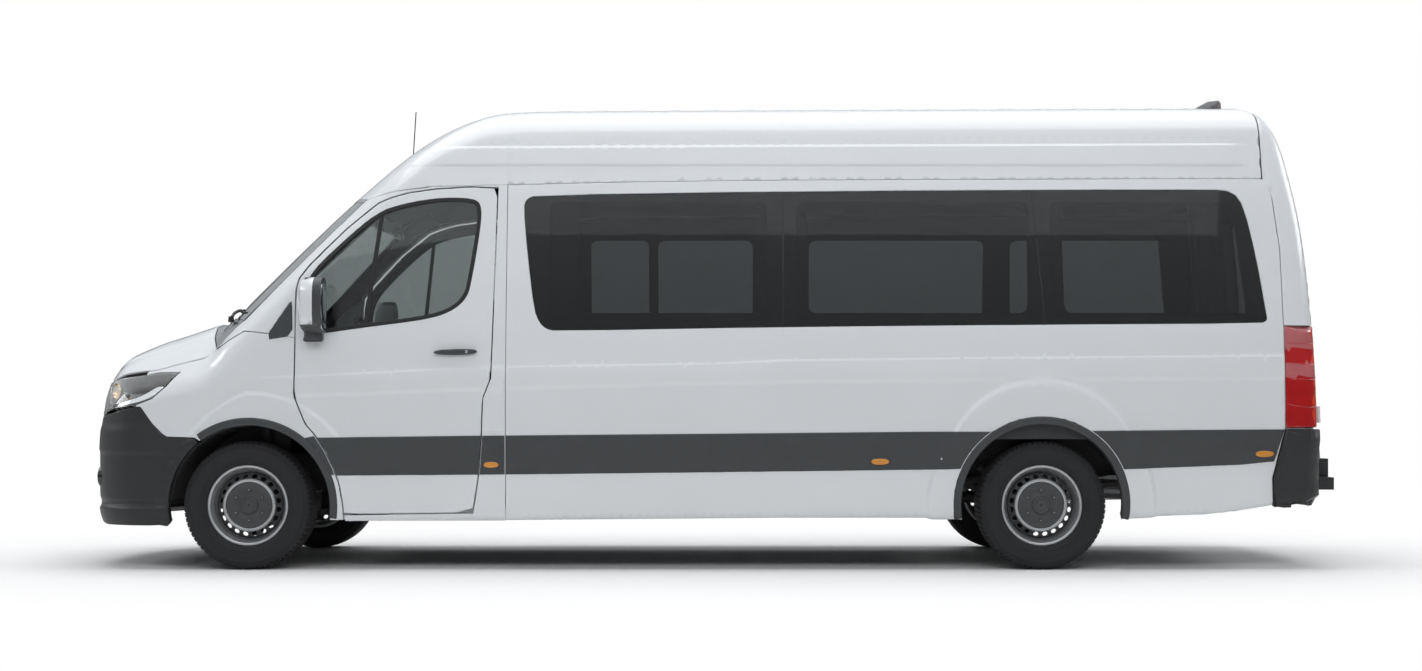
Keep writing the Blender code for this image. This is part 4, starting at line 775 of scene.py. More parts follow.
# ---- front doors ----
skin = panel(side, soften(grown(DOOR, -0.0005), 1, 0.12), [soften(DOOR_WINDOW, 2)], step=(0.05, 0.02),
             depth=0.014, shape=side_shape, mats=(0, 0, 1), lines=CREASES)
inner = panel(side, grown(DOOR, -0.022), [soften(grown(DOOR_WINDOW, -0.004), 2)], step=(0.09, 0.06),
              lift=-0.0145, depth=0.060, mats=(1, 2, 2))
door = merge(skin, inner)
for tag, part in (("left", door), ("right", flip(door))):
    put("front_door_%s_skin" % tag, part, ("paint", "inner_paint", "trim"), "front_door_" + tag,
        ("front_door_" + tag,))
seal = panel(side, soften(grown(DOOR_WINDOW, 0.007), 2), [soften(grown(DOOR_WINDOW, -0.016), 2)],
             step=EDGE_ONLY, lift=0.0025, depth=0.012, edge=0.004)
bar = panel(side, [(0.716, 1.992), (0.738, 1.992), (0.653, 1.315), (0.629, 1.315)], step=EDGE_ONLY,
            lift=-0.001, depth=0.012, edge=0.003)
pane = panel(side, soften(grown(DOOR_WINDOW, -0.006), 2), step=(0.08, 0.05), lift=-0.005, depth=0.0095,
             edge=0.0)
for tag, turn in SIDES:
    put("door_seal_" + tag, turn(merge(seal, bar)), ("black",), "front_door_" + tag)
    put("door_pane_" + tag, turn(pane), ("cab_glass",), "front_door_" + tag, ("door_window_" + tag,))

# ---- side walls ----
back = [(5.640, 0.768)] + [(x - 0.002, z) for x, z in REAR_SEAM] + [(5.568, 2.137)]
wall_line = ([(SEAM_B + 0.002, 0.268), (2.90, 0.281), (3.888, 0.281)]
             + arc(ARCH_REAR[0], ARCH_REAR[1], ARCH_REAR[2] + 0.006, 190, -10, 60)
             + [(4.76, 0.284), (5.20, 0.299), (5.39, 0.320), (5.577, 0.350), (5.572, 0.500)] + back
             + [(x, float(gutter_z(x)) - 0.002)
                for x in np.linspace(5.5, 1.5, 21)] + [(SEAM_B + 0.002, 2.1035)])
glass_line = soften(SIDE_GLASS, 1)
WALL = dict(step=(0.05, 0.022), depth=0.016, shape=side_shape, mats=(0, 0, 1), lines=CREASES)
BONDED = dict(step=(0.10, 0.05), lift=-0.001, depth=0.0065, edge=0.003)
LINING = dict(step=(0.12, 0.08), lift=-0.046, depth=0.058, edge=0.006)
wall = panel(side, wall_line, [grown(glass_line, 0.0015)], **WALL)
put("side_wall_left_skin", wall, ("paint", "inner_paint"), over=("side_wall_left",))
strip = panel(side, glass_line, **BONDED)
put("side_glass_left_pane", strip, ("glass",), over=("side_glass_left",))


def opening(x0, x1, z0=1.405, z1=2.000, lean=0.0):
    """A window opening with rounded corners; lean draws its upper rear corner forward."""
    q = [(x0, z0), (x1, z0), (x1 - lean, z1), (x0 - lean * 0.2, z1)]
    return soften(dense(q, 0.12), 2)


frit_holes = [opening(1.64, 2.83, 1.36, 2.01), opening(2.985, 4.265, 1.37, 2.01),
              opening(4.385, 5.44, 1.38, 2.01, 0.07)]
frit = panel(side, grown(glass_line, -0.004), frit_holes, step=(0.4, 0.2), lift=-0.0070, depth=0.0080,
             edge=0.0)
trim_holes = [opening(1.800, 2.790), opening(3.050, 4.255), opening(4.455, 5.480, lean=0.05)]
trim_line = ([(SEAM_B + 0.03, 0.71), (5.54, 0.71), (5.60, 0.80), (5.585, 1.7), (5.545, 2.10)]
             + [(x, float(gutter_z(x)) - 0.02) for x in (4.4, 2.9, 2.1)] + [(SEAM_B + 0.03, 2.085)])
trim = panel(side, trim_line, trim_holes, **LINING)
seams = [panel(side, [(a - 0.0030, 1.330), (a + 0.0030, 1.330), (b + 0.0030, 2.060), (b - 0.0030, 2.060)],
               step=EDGE_ONLY, lift=0.0005, depth=0.004, edge=0.001)
         for a, b in ((2.915, 2.915), (4.339, 4.278))]
put("side_glass_left_border", merge(frit, *seams), ("gloss_black",))
put("side_trim_left", trim, ("trim",))

# ---- right side: wall, sliding door and their glass ----
g = grown(glass_line, 0.0015)
start = min(range(len(g)), key=lambda i: abs(g[i][0] - 2.915) + (0 if g[i][1] > 1.7 else 9))
end = min(range(len(g)), key=lambda i: abs(g[i][0] - 2.915) + (0 if g[i][1] < 1.7 else 9))
path = []
i = start
while i != end:
    path.append(g[i])
    i = (i + 1) % len(g)
path.append(g[end])
right_hole = ([(1.432, 0.327), (1.432, 2.073), (2.888, 2.093), (2.888, 2.0695)] + path[1:]
              + [(2.888, 1.320), (2.888, 0.342)])
right = panel(side, wall_line, [right_hole], **WALL)
put("side_wall_right_skin", flip(right), ("paint", "inner_paint"), over=("side_wall_right",))
k = [i for i, p in enumerate(glass_line) if p[0] < 2.80]
cut_at = [i for i in range(len(k) - 1) if k[i + 1] != k[i] + 1]
ordered = k[cut_at[0] + 1:] + k[:cut_at[0] + 1] if cut_at else k
front_glass = [glass_line[i] for i in ordered]
top_first = front_glass[0][1] > front_glass[-1][1]
ends = [(2.872, 2.0665), (2.872, 1.3225)] if not top_first else [(2.872, 1.3225), (2.872, 2.0665)]
front_glass = front_glass + ends
slide_line = grown(SLIDING, -HALF)
slider = panel(side, slide_line, [grown(front_glass, 0.0015)], **WALL)
put("sliding_door_skin", flip(slider), ("paint", "inner_paint"), over=("sliding_door",))
pane_a = panel(side, front_glass, **BONDED)
rear_glass = [(2.890, 2.068)] + path[1:-1] + [(2.890, 1.322)]
rear_glass = grown(rear_glass, -0.0015)
pane_b = panel(side, rear_glass, **BONDED)
put("sliding_door_pane", flip(pane_a), ("glass",), over=("sliding_door_window",))
put("side_glass_right_pane", flip(pane_b), ("glass",), over=("side_glass_right",))
right_holes = [opening(1.735, 2.105, 1.45, 1.97), opening(2.165, 2.770, 1.45, 1.97),
               opening(3.130, 4.245, 1.45, 1.97), opening(4.425, 5.480, 1.45, 1.97, 0.05)]
right_trim = panel(side, trim_line, right_holes, **LINING)
put("side_glass_right_border", flip(merge(frit, seams[1])), ("gloss_black",))
put("side_trim_right", flip(right_trim), ("trim",))
rail = panel(side, [(2.905, 1.236), (5.460, 1.262), (5.460, 1.284), (2.905, 1.258)], step=EDGE_ONLY,
             lift=0.002, depth=0.004, edge=0.003)
put("sliding_rail_right", flip(rail), ("black",))

# ---- dark side mouldings and wheel lips ----
MOULD = dict(step=(0.12, 0.04), lift=0.006, depth=0.0, edge=0.006, shape=side_shape)
door_band = [(0.4935, 0.5140), (1.2595, 0.5185), (1.2745, 0.7300), (0.3855, 0.7195), (0.4370, 0.6480),
             (0.4825, 0.5480)]
wing_band = [(0.4625, 0.5180), (0.4815, 0.5150), (0.4710, 0.5480), (0.4265, 0.6435), (0.3725, 0.7275),
             (0.3230, 0.7180), (0.3900, 0.6500)]
post_band = [(1.2685, 0.5185), (1.4040, 0.5195), (1.4040, 0.7310), (1.2830, 0.7300)]
ring = arc(ARCH_REAR[0], ARCH_REAR[1], ARCH_REAR[2] + 0.046, 156.2, 125.0, 8)
wall_band = [(1.4105, 0.5195), (2.50, 0.5315), (3.712, 0.5460)] + ring + [(3.712, 0.7520), (2.50, 0.7405),
                                                                          (1.4105, 0.7313)]
ring = arc(ARCH_REAR[0], ARCH_REAR[1], ARCH_REAR[2] + 0.046, 56.0, 23.5, 8)
tail_band = ring + [(5.39, 0.572), (5.5800, 0.5905), (5.6360, 0.7640), (5.39, 0.763)]
for tag, turn in SIDES:
    put("door_moulding_" + tag, turn(panel(side, door_band, **MOULD)), ("plastic",), "front_door_" + tag)
    pieces = [panel(side, b, **MOULD) for b in (wing_band, post_band, tail_band)]
    if tag == "left":
        pieces.append(panel(side, wall_band, **MOULD))
    else:
        pieces.append(panel(side, [(1.4105, 0.5195), (1.431, 0.5197), (1.431, 0.7314), (1.4105, 0.7313)],
                            **MOULD))
        aft = [(2.889, 0.5355)] + [p for p in wall_band if p[0] > 3.0] + [(2.889, 0.7442)]
        pieces.append(panel(side, aft, **MOULD))
        mid = [(1.439, 0.5197), (2.881, 0.5354), (2.881, 0.7441), (1.439, 0.7314)]
        put("sliding_door_moulding", turn(panel(side, mid, **MOULD)), ("plastic",))
    put("side_mouldings_" + tag, turn(merge(*pieces)), ("plastic",))
    lips = []
    for arch, start, stop in ((ARCH_FRONT, -9, 126), (ARCH_REAR, -9, 189)):
        r = arch[2]
        loop = arc(arch[0], arch[1], r + ARCH_LIP, start, stop, 60) + arc(arch[0], arch[1], r - 0.001, stop,
                                                                          start, 60)
        lips.append(panel(side, loop, step=EDGE_ONLY, lift=0.007, depth=0.034, edge=0.012, shape=side_shape))
    put("wheel_lips_" + tag, turn(merge(*lips)), ("plastic",))

# ---- roof ----
roof_map = Barrel()


def roof_edge(xs):
    """Points of the roof's lower edge along the gutter."""
    return side.out(xs, gutter_z(np.clip(xs, 0.655, 5.55)))


def screen_foot(y, z):
    """Height of the windscreen's lower edge, which is z in the middle."""
    return z - 0.040 * (y / 0.8) ** 2


def screen_head(y, z):
    """Height of the windscreen's upper edge, which is z in the middle."""
    return z - 0.052 * (y / 0.715) ** 2


def roof_shape(p):
    """The long pressed steps of the roof's flank and its cross seams."""
    x, y, z = p[:, 0], p[:, 1], p[:, 2]
    d = 0.006 * ease((z - 2.215) / 0.018 + 0.5) - 0.007 * ease((z - (2.325 + 0.004 * (x - 3))) / 0.022 + 0.5)
    d = d * ease((x - 0.75) / 0.5) * ease((5.50 - x) / 0.15)
    for s in (1.41, 2.915):
        d = d - 0.0035 * np.exp(-((x - s) / 0.006) ** 2)
    flat = ease((0.60 - np.abs(y)) / 0.05) * ease((x - 1.6) / 0.1) * ease((5.35 - x) / 0.1)
    return d + 0.004 * flat * np.cos(x * 2 * math.pi / 0.42) ** 6


edge_l = roof_map.back(roof_edge(np.concatenate([np.linspace(0.665, 1.4, 24), np.linspace(1.45, 5.545, 80)])))
rear_line = np.array([(5.5455, t) for t in np.linspace(edge_l[-1][1], -edge_l[-1][1], 41)])[1:-1]
front_y = np.linspace(0.722, -0.722, 31)
front3 = face_x([(y, screen_head(y, 2.0935)) for y in front_y])
front_line = roof_map.back(front3)
left_edge = [tuple(q) for q in edge_l]
right_edge = [(q[0], -q[1]) for q in left_edge[::-1]]
roof_line = left_edge + [tuple(q) for q in rear_line] + right_edge + [tuple(q) for q in front_line]
steps = []
for z0, half in ((2.215, 0.009), (2.325, 0.011)):
    for off in (-1.0, -0.35, 0.35, 1.0):
        xs = np.arange(0.80, 5.53, 0.035)
        z = z0 + (0.004 if z0 > 2.3 else 0.0) * (xs - 3) + off * half
        q = roof_map.back(side.out(xs, z))
        steps += [q, q * np.array([1.0, -1.0])]
roof = panel(roof_map, roof_line, step=(0.07, 0.022), lines=steps, depth=0.040, shape=roof_shape, edge=0.004,
             raw=True, mats=(0, 0, 1))
put("roof_skin", roof, ("paint", "lining"), over=("roof",))


# ---- windscreen, its seal and the cowl ----
class Ahead:
    """(y, z) seen from ahead."""
    @staticmethod
    def out(u, v):
        return face_x(np.stack([u, v], 1))


ahead = Ahead()


def screen(d):
    """The windscreen's outline in (y, z), grown by d."""
    low = [(y, screen_foot(y, 1.408) - d) for y in np.linspace(-0.80 - d, 0.80 + d, 25)]
    high = [(y, screen_head(y, 2.090) + d) for y in np.linspace(0.715 + d, -0.715 - d, 25)]
    return low + high


glass = panel(ahead, soften(screen(-0.002), 2), step=(0.06, 0.04), lift=-0.001, depth=0.007, edge=0.0)
put("windscreen_pane", glass, ("cab_glass",), over=("windscreen",))
seal = panel(ahead, soften(screen(0.004), 1), [soften(screen(-0.016), 1)], step=EDGE_ONLY, lift=0.001,
             depth=0.010, edge=0.003)
shade = panel(ahead, soften(screen(-0.004), 1),
              [soften([(p[0] * 0.955, 1.45 + (p[1] - 1.45) * (0.90 if p[1] > 1.7 else 1.0)
              + (0.0 if p[1] > 1.7 else 0.035)) for p in screen(0.0)], 2)], step=EDGE_ONLY, lift=-0.0075,
              depth=0.0085, edge=0.0)
put("windscreen_seal", merge(seal, shade), ("gloss_black",))

nose_roll = Roll((-0.10, 0.80))
back_line = top_z([(x + 0.005, y) for x, y in BONNET_BACK] + [(x + 0.005, -y) for x,
                                                              y in BONNET_BACK[-2::-1]])
base = face_x([(y, screen_foot(y, 1.404)) for y in np.linspace(0.800, -0.800, 17)])
cowl_line = dense([tuple(q) for q in nose_roll.back(back_line)] + [tuple(q) for q in nose_roll.back(base)],
                  0.03)
cowl = panel(nose_roll, cowl_line, step=(0.05, 0.03), lift=-0.006, depth=0.020, edge=0.003, raw=True)
put("cowl_panel", cowl, ("black",))

# ---- bonnet ----
front_edge = face_x([(y, 1.0365) for y in np.linspace(0.600, -0.600, 21)])
flank_l = top_z(dense([(-0.860, -0.618), (-0.80, -0.648), (-0.72, -0.6885), (-0.55, -0.7635),
                       (-0.30, -0.7885), (-0.217, -0.7885)], 0.03)[:26])
flank_l = flank_l[flank_l[:, 0] < -0.2165]
keep = flank_l[:, 2] > 1.040
flank_l = flank_l[keep]
order = np.argsort(flank_l[:, 0])
flank_l = flank_l[order]
flank_r = flank_l[::-1] * np.array([1, -1, 1])
bb = top_z([(x - 0.001, y) for x,
            y in dense(BONNET_BACK + [(x, -y) for x, y in BONNET_BACK[-2::-1]], 0.04)[:44]])
bb = bb[(np.abs(bb[:, 1]) <= 0.7885)]
bb = bb[np.argsort(bb[:, 1])]
loop3 = np.concatenate([flank_l, bb[1:-1], flank_r, front_edge])
bonnet_line = [tuple(q) for q in nose_roll.back(loop3)]


def bonnet_shape(p):
    """Two pressed ridges that run up the bonnet."""
    x, y = p[:, 0], np.abs(p[:, 1])
    line = 0.40 + 0.16 * (x + 0.9) / 0.6
    fade = ease((x + 0.93) / 0.12) * ease((-0.27 - x) / 0.08)
    return 0.007 * ease((line - y) / 0.05 + 0.5) * fade


bonnet = panel(nose_roll, bonnet_line, step=(0.04, 0.02), depth=0.012, shape=bonnet_shape, raw=True,
               mats=(0, 0, 1))
put("bonnet_skin", bonnet, ("paint", "inner_paint"), "bonnet", ("bonnet",))

# ---- front bumper, grille and lamps ----
front = Turn(0.30)


def on_front(points3):
    return [tuple(q) for q in front.back(np.asarray(points3))]


def side3(points):
    x, z = np.array([p[0] for p in points], float), np.array([p[1] for p in points], float)
    return side.out(x, z)


brow = on_front(side3([(x, z - 0.002) for x, z in BUMPER_TOP]))
arch_side = on_front(side3(arc(ARCH_FRONT[0], ARCH_FRONT[1], ARCH_FRONT[2] + 0.002, 129, 192, 26)))
cheek = on_front(face_x([(y, 0.8325) for y in (-0.62, -0.56, -0.5005)]))
sill_turn = arch_side[-1][0]
bottom_l = [(sill_turn - sill_turn * t, 0.2475) for t in np.linspace(0.02, 0.98, 20)]
# from the middle of the lower edge to the arch, up it, forward to the lamp and in to the grille
half = bottom_l[::-1] + arch_side[::-1] + brow[::-1] + cheek
full = half + [(-p[0], p[1]) for p in half[::-1]]


def bumper_shape(p):
    """Steps of the bumper: a proud lower lip and a set-back waist."""
    x, z = p[:, 0], p[:, 2]
    f = ease((-0.35 - x) / 0.2)
    d = 0.012 * ease((0.345 - z) / 0.020 + 0.5) - 0.010 * np.exp(-((z - 0.355) / 0.016) ** 2)
    d = d + 0.006 * ease((z - 0.640) / 0.03 + 0.5) * ease((0.80 - z) / 0.05)
    r = np.hypot(x - ARCH_FRONT[0], z - ARCH_FRONT[1])
    return d * f + 0.012 * ease((0.484 - r) / 0.02 + 0.5)


intake3 = face_x([(-0.455, 0.360), (0.455, 0.360), (0.455, 0.466), (-0.455, 0.466)])
intake = [(p[0], p[1]) for p in soften(dense(on_front(intake3), 0.10), 2)]
fog = []
for s in (-1, 1):
    q = face_x([(s * 0.690 + 0.060 * math.cos(t), 0.500 + 0.060 * math.sin(t)) for t in
                turns(28)])
    fog.append(on_front(q))
bumper = panel(front, dense(full, 0.022), [dense(intake, 0.022)] + fog, step=(0.035, 0.022), depth=0.028,
               shape=bumper_shape, raw=True)
put("front_bumper_skin", bumper, ("bumper",), over=("front_bumper",))

# ---- grille, headlamps and fog lamps ----
def front_patch(corners, lift, depth, edge=0.004, holes=(), r=1, step=(0.05, 0.03)):
    """A plate over the nose between corners (y, z)."""
    line = soften(dense(on_front(face_x(corners)), 0.12), r) if r else on_front(face_x(dense(corners, 0.05)))
    return panel(front, line, [on_front(face_x(h)) for h in holes], step=step, lift=lift, depth=depth,
                 edge=edge)


def bar(y0, y1, z0, z1):
    return dense([(y0, z0), (y1, z0), (y1, z1), (y0, z1)], 0.05)


back_plate = front_patch([(-0.494, 0.836), (0.494, 0.836), (0.494, 1.0265), (-0.494, 1.0265)], -0.030, 0.038,
                         r=0)
slats = [front_patch(bar(-0.470, 0.470, z, z + 0.021), 0.0005, 0.028, 0.006, r=0, step=EDGE_ONLY)
         for z in (0.858, 0.902, 0.946, 0.990)]
surround = front_patch(bar(-0.4955, 0.4955, 0.8352, 1.0278), 0.003, 0.032, 0.006,
                       [bar(-0.476, 0.476, 0.853, 1.012)], r=0, step=EDGE_ONLY)
put("grille_bars", merge(*slats, surround), ("bumper",), over=("grille",))
put("grille_backing", back_plate, ("black",))
low_back = front_patch(bar(-0.450, 0.450, 0.362, 0.464), -0.024, 0.028, r=0)
low_bars = [front_patch(bar(-0.450, 0.450, z, z + 0.013), -0.004, 0.022, 0.004, r=0, step=EDGE_ONLY)
            for z in (0.378, 0.405, 0.432)]
put("intake_bars", merge(low_back, *low_bars), ("black",))

lamp3 = np.concatenate([side3(dense([(-0.5125, 1.0745), (-0.4035, 1.0745), (-0.4475, 1.0005), (-0.518, 0.932),
                                     (-0.608, 0.8975), (-0.767, 0.8625)], 0.03)[:17]),
                        face_x([(-0.640, 0.846), (-0.570, 0.838), (-0.5015, 0.8375), (-0.5015, 0.90),
                                (-0.5015, 0.97), (-0.5015, 1.0265), (-0.56, 1.0285), (-0.612, 1.034)])])
lamp_line = on_front(lamp3)
lens = panel(front, soften(lamp_line, 1), step=(0.04, 0.03), lift=0.0, depth=0.0035, edge=0.003)
walls = panel(front, soften(lamp_line, 1), [soften(grown(lamp_line, -0.007), 1)], step=EDGE_ONLY,
              lift=-0.004, depth=0.066)
floor_plate = panel(front, soften(grown(lamp_line, -0.004), 1), step=(0.04, 0.03), lift=-0.062, depth=0.070,
                    edge=0.0)


def lamp_part(y, z, d):
    """A point d below the nose's surface at (y, z)."""
    p = face_x([(y, z)])
    return p[0] - normals_at(p)[0] * d


def bowl(pile, y, z, d, r, depth, slot, lean=0.35):
    """A reflector bowl that opens forward and outward."""
    c = lamp_part(y, z, d)
    axis = np.array([-1.0, -lean if y < 0 else lean, 0.02])
    axis /= np.linalg.norm(axis)
    u = np.cross(axis, (0, 0, 1))
    u /= np.linalg.norm(u)
    w = np.cross(axis, u)
    prof = [(r, 0.0), (r * 0.96, 0.004), (r * 0.82, -depth * 0.42), (r * 0.5, -depth * 0.82),
            (r * 0.16, -depth),
            (r * 0.18, -depth - 0.004), (r * 0.55, -depth * 0.9), (r * 0.9, -depth * 0.45)]
    loops = [[c + axis * h + (u * math.cos(t) + w * math.sin(t)) * q for q, h in prof]
             for t in turns(36)]
    pile.rings(loops, slot, closed=True)
    return c, axis


glow_line = on_front(side3([(-0.455, 1.006), (-0.525, 0.945), (-0.612, 0.912), (-0.750, 0.882),
                            (-0.745, 0.905), (-0.625, 0.940), (-0.555, 0.975), (-0.500, 1.020)]))
glow = panel(front, soften(glow_line, 1), step=(0.04, 0.02), lift=-0.018, depth=0.030, edge=0.006)
for tag, turn in SIDES:
    put("headlamp_lens_" + tag, turn(lens), ("lens",), over=("headlamp_" + tag,))
    put("headlamp_housing_" + tag, turn(merge(walls, floor_plate)), ("gloss_black",))
    put("headlamp_strip_" + tag, turn(glow), ("chrome",))
    pile = Pile()
    c1, ax1 = bowl(pile, -0.655, 0.958, 0.020, 0.050, 0.036, 0)
    c2, ax2 = bowl(pile, -0.745, 0.985, 0.022, 0.046, 0.030, 1, 0.9)
    pile.rod(c1 - ax1 * 0.034, c1 - ax1 * 0.008, 0.012, 2, 20, 0.007)
    pile.rod(c2 - ax2 * 0.028, c2 - ax2 * 0.006, 0.010, 2, 20, 0.006)
    pile = pile if tag == "left" else pile.mirrored()
    pile.put("headlamp_reflectors_" + tag, ("chrome", "warm_reflector", "lens"), slot="clear")
    pile = Pile()
    c = lamp_part(-0.690, 0.500, 0.010)
    loops = [[c + np.array([-h, q * math.cos(t), q * math.sin(t)]) for q, h in
              [(0.0585, 0.004), (0.054, 0.010), (0.049, 0.004), (0.046, -0.010), (0.030, -0.026),
               (0.006, -0.032), (0.006, -0.040), (0.0585, -0.036)]] for t in turns(36)]
    pile.rings(loops, 0, closed=True)
    dome = [[c + np.array([-h, q * math.cos(t), q * math.sin(t)]) for t in turns(36)]
            for q, h in [(0.050, 0.0), (0.042, 0.006), (0.026, 0.010), (0.004, 0.0115)]]
    pile.rings(dome, 1)
    pile = pile if tag == "left" else pile.mirrored()
    pile.put("fog_lamp_" + tag, ("gloss_black", "lens"), slot="clear")

# ---- door mirrors, their bases and the black corner ----
corner = soften([(0.095, 1.2485), (0.249, 1.2725), (0.243, 1.464), (0.225, 1.452)], 1, 0.18)
for tag, turn in SIDES:
    put("mirror_corner_" + tag,
        turn(panel(side, corner, step=(0.05, 0.03), lift=0.009, depth=0.0, edge=0.008)),
        ("plastic",))
    pile = Pile()
    loops = []
    for t in np.linspace(-1, 1, 15):
        q = (1 - abs(t) ** 3.0) ** 0.40 if abs(t) < 1 else 0.30
        z = 1.433 + 0.1495 * t
        x0, x1 = 0.352 - 0.050 * q, 0.443 - 0.004 * (1 - q)
        y0, y1 = -1.012 - 0.012 * (1 - q), -1.062 - 0.1085 * q
        pts = [(x1, y0), (x1, y1 + 0.006), (x1 - 0.010, y1), (x1 - 0.045, y1 + 0.004),
               (x0 + 0.030, y1 + 0.026),
               (x0 + 0.007, y1 + 0.062), (x0, 0.5 * (y0 + y1) + 0.012), (x0 + 0.012, y0 - 0.012),
               (x0 + 0.040, y0)]
        loops.append([(x, y, z) for x, y in pts])
    pile.rings(loops, 0)
    pile.s = [0 if np.mean([pile.v[i][0] for i in f]) < 0.404 and np.mean([pile.v[i][2]
                                                                           for i in f]) > 1.318 else 1
              for f in pile.f]
    glass_pts = soften([(-1.026, 1.345), (-1.148, 1.345), (-1.152, 1.545), (-1.030, 1.548)], 2, 0.2)
    pile.slab(glass_pts, "x", 0.4405, 0.4448, 2)
    low_pts = soften([(-1.03, 1.298), (-1.138, 1.298), (-1.144, 1.332), (-1.03, 1.334)], 2, 0.2)
    pile.slab(low_pts, "x", 0.4405, 0.4448, 2)
    pile.rings([[(x, y, z) for x, y in ((0.352, -1.120), (0.384, -1.153), (0.428, -1.1595), (0.428, -1.135),
                                        (0.372, -1.115))] for z in (1.318, 1.345, 1.392, 1.398)], 3)
    pile.rings([[(x, y, z) for x,
                 z in ((0.318, 1.243), (0.330, 1.238), (0.412, 1.240), (0.420, 1.249), (0.420, 1.278),
                                        (0.408, 1.286), (0.340, 1.286), (0.320, 1.262))]
                for y in (-0.972, -1.000, -1.018)], 1)
    pile.rings([[(x, y, z) for x, y in ((0.330, -1.004), (0.414, -1.004), (0.414, -1.058), (0.398, -1.070),
                                        (0.345, -1.066), (0.330, -1.050))] for z in (1.250, 1.268, 1.345)], 1)
    pile = pile if tag == "left" else pile.mirrored()
    pile.put("mirror_housing_" + tag, ("paint", "plastic", "mirror_glass", "lens"), "front_door_" + tag,
             ("mirror_" + tag,), "paint", bevel=0.0015)

# ---- wheels ----
DISC = curve([(0.128, 0.060), (0.135, 0.0625), (0.142, 0.0590), (0.150, 0.0480), (0.165, 0.0335),
              (0.176, 0.0215), (0.1825, 0.0120)])


def vented_disc():
    """The wheel's pressed ring with its oval vents: flat points, triangles, heights outward and radii."""
    loop = arc(0, 0, 0.1825, 0, 360, 120)[:-1]
    centre = arc(0, 0, 0.1280, 0, 360, 90)[:-1]
    holes = [centre]
    for k in range(20):
        a = 2 * math.pi * (k + 0.5) / 20
        c, s = math.cos(a), math.sin(a)
        holes.append([((0.1590 + 0.0118 * math.cos(t)) * c - 0.0145 * math.sin(t) * s,
                       (0.1590 + 0.0118 * math.cos(t)) * s + 0.0145 * math.sin(t) * c)
                      for t in turns(20)])
    rows = [np.array(arc(0, 0, r, 1, 361, 100)) for r in (0.1315, 0.1350, 0.1385, 0.1420, 0.1450)]
    uv, tri = fill(loop, holes, (0.006, 0.006), (0.0025,), rows)
    r = np.hypot(uv[:, 0], uv[:, 1])
    near = edge_distance(holes[1:], uv)
    y = DISC(r) - 0.0030 * np.clip(1 - near / 0.0035, 0, 1) ** 2
    return uv, tri, y, r


DISC_UV, DISC_TRI, DISC_Y, DISC_R = vented_disc()
RIM_OUT = [(0.2020, 0.0735), (0.2045, 0.0840), (0.2110, 0.0888), (0.2180, 0.0886), (0.2200, 0.0862),
           (0.2195, 0.0840),
           (0.2130, 0.0835), (0.2085, 0.0780), (0.2060, 0.0720), (0.1900, 0.0300), (0.1900, -0.0400),
           (0.2045, -0.0740), (0.2195, -0.0830), (0.2200, -0.0870), (0.2050, -0.0850), (0.1840, -0.0400),
           (0.1810, 0.0090), (0.1830, 0.0200), (0.1870, 0.0330), (0.1905, 0.0400), (0.1895, 0.0445),
           (0.1925, 0.0560), (0.1985, 0.0650)]


def tyre_profile():
    half = [(0.2040, 0.0735), (0.2120, 0.0800), (0.2205, 0.0870), (0.2225, 0.0935), (0.2290, 0.1000),
            (0.2400, 0.1070),
            (0.2490, 0.1112), (0.2500, 0.1130), (0.2530, 0.1132), (0.2545, 0.1123), (0.2720, 0.1160),
            (0.2900, 0.1168),
            (0.3060, 0.1155), (0.3075, 0.1165), (0.3105, 0.1160), (0.3115, 0.1145), (0.3240, 0.1095),
            (0.3330, 0.1045), (0.3400, 0.0985), (0.3445, 0.0915), (0.3470, 0.0850)]
    tread = [(0.3478, 0.0780), (0.3485, 0.0640), (0.3420, 0.0620), (0.3420, 0.0560), (0.3492, 0.0540),
             (0.3497, 0.0230), (0.3430, 0.0210), (0.3430, 0.0140), (0.3499, 0.0120)]
    top = tread + [(r, -y) for r, y in tread[::-1]]
    return half + top + [(r, -y) for r, y in half[::-1]]


def tyre(pile, centre, s):
    prof = tyre_profile()
    n = 74
    loops = []
    for k in range(n):
        for f, cut_in in ((0.0, 0), (0.06, 1), (0.17, 1), (0.23, 0), (0.60, 0)):
            t = 2 * math.pi * (k + f) / n
            ring = []
            for r, y in prof:
                shoulder = 0.056 < abs(y) < 0.099 and r > 0.335
                mid_block = abs(y) < 0.056 and r > 0.3460
                q = r - (0.0065 if shoulder and cut_in else 0.0) - (0.0025 if mid_block and cut_in else 0.0)
                a = t + (0.02 * (abs(y) / 0.1) if r > 0.33 else 0.0)
                ring.append((centre[0] + q * math.cos(a), centre[1] + s * y, centre[2] + q * math.sin(a)))
            loops.append(ring)
    pile.rings(loops, 0, closed=True)


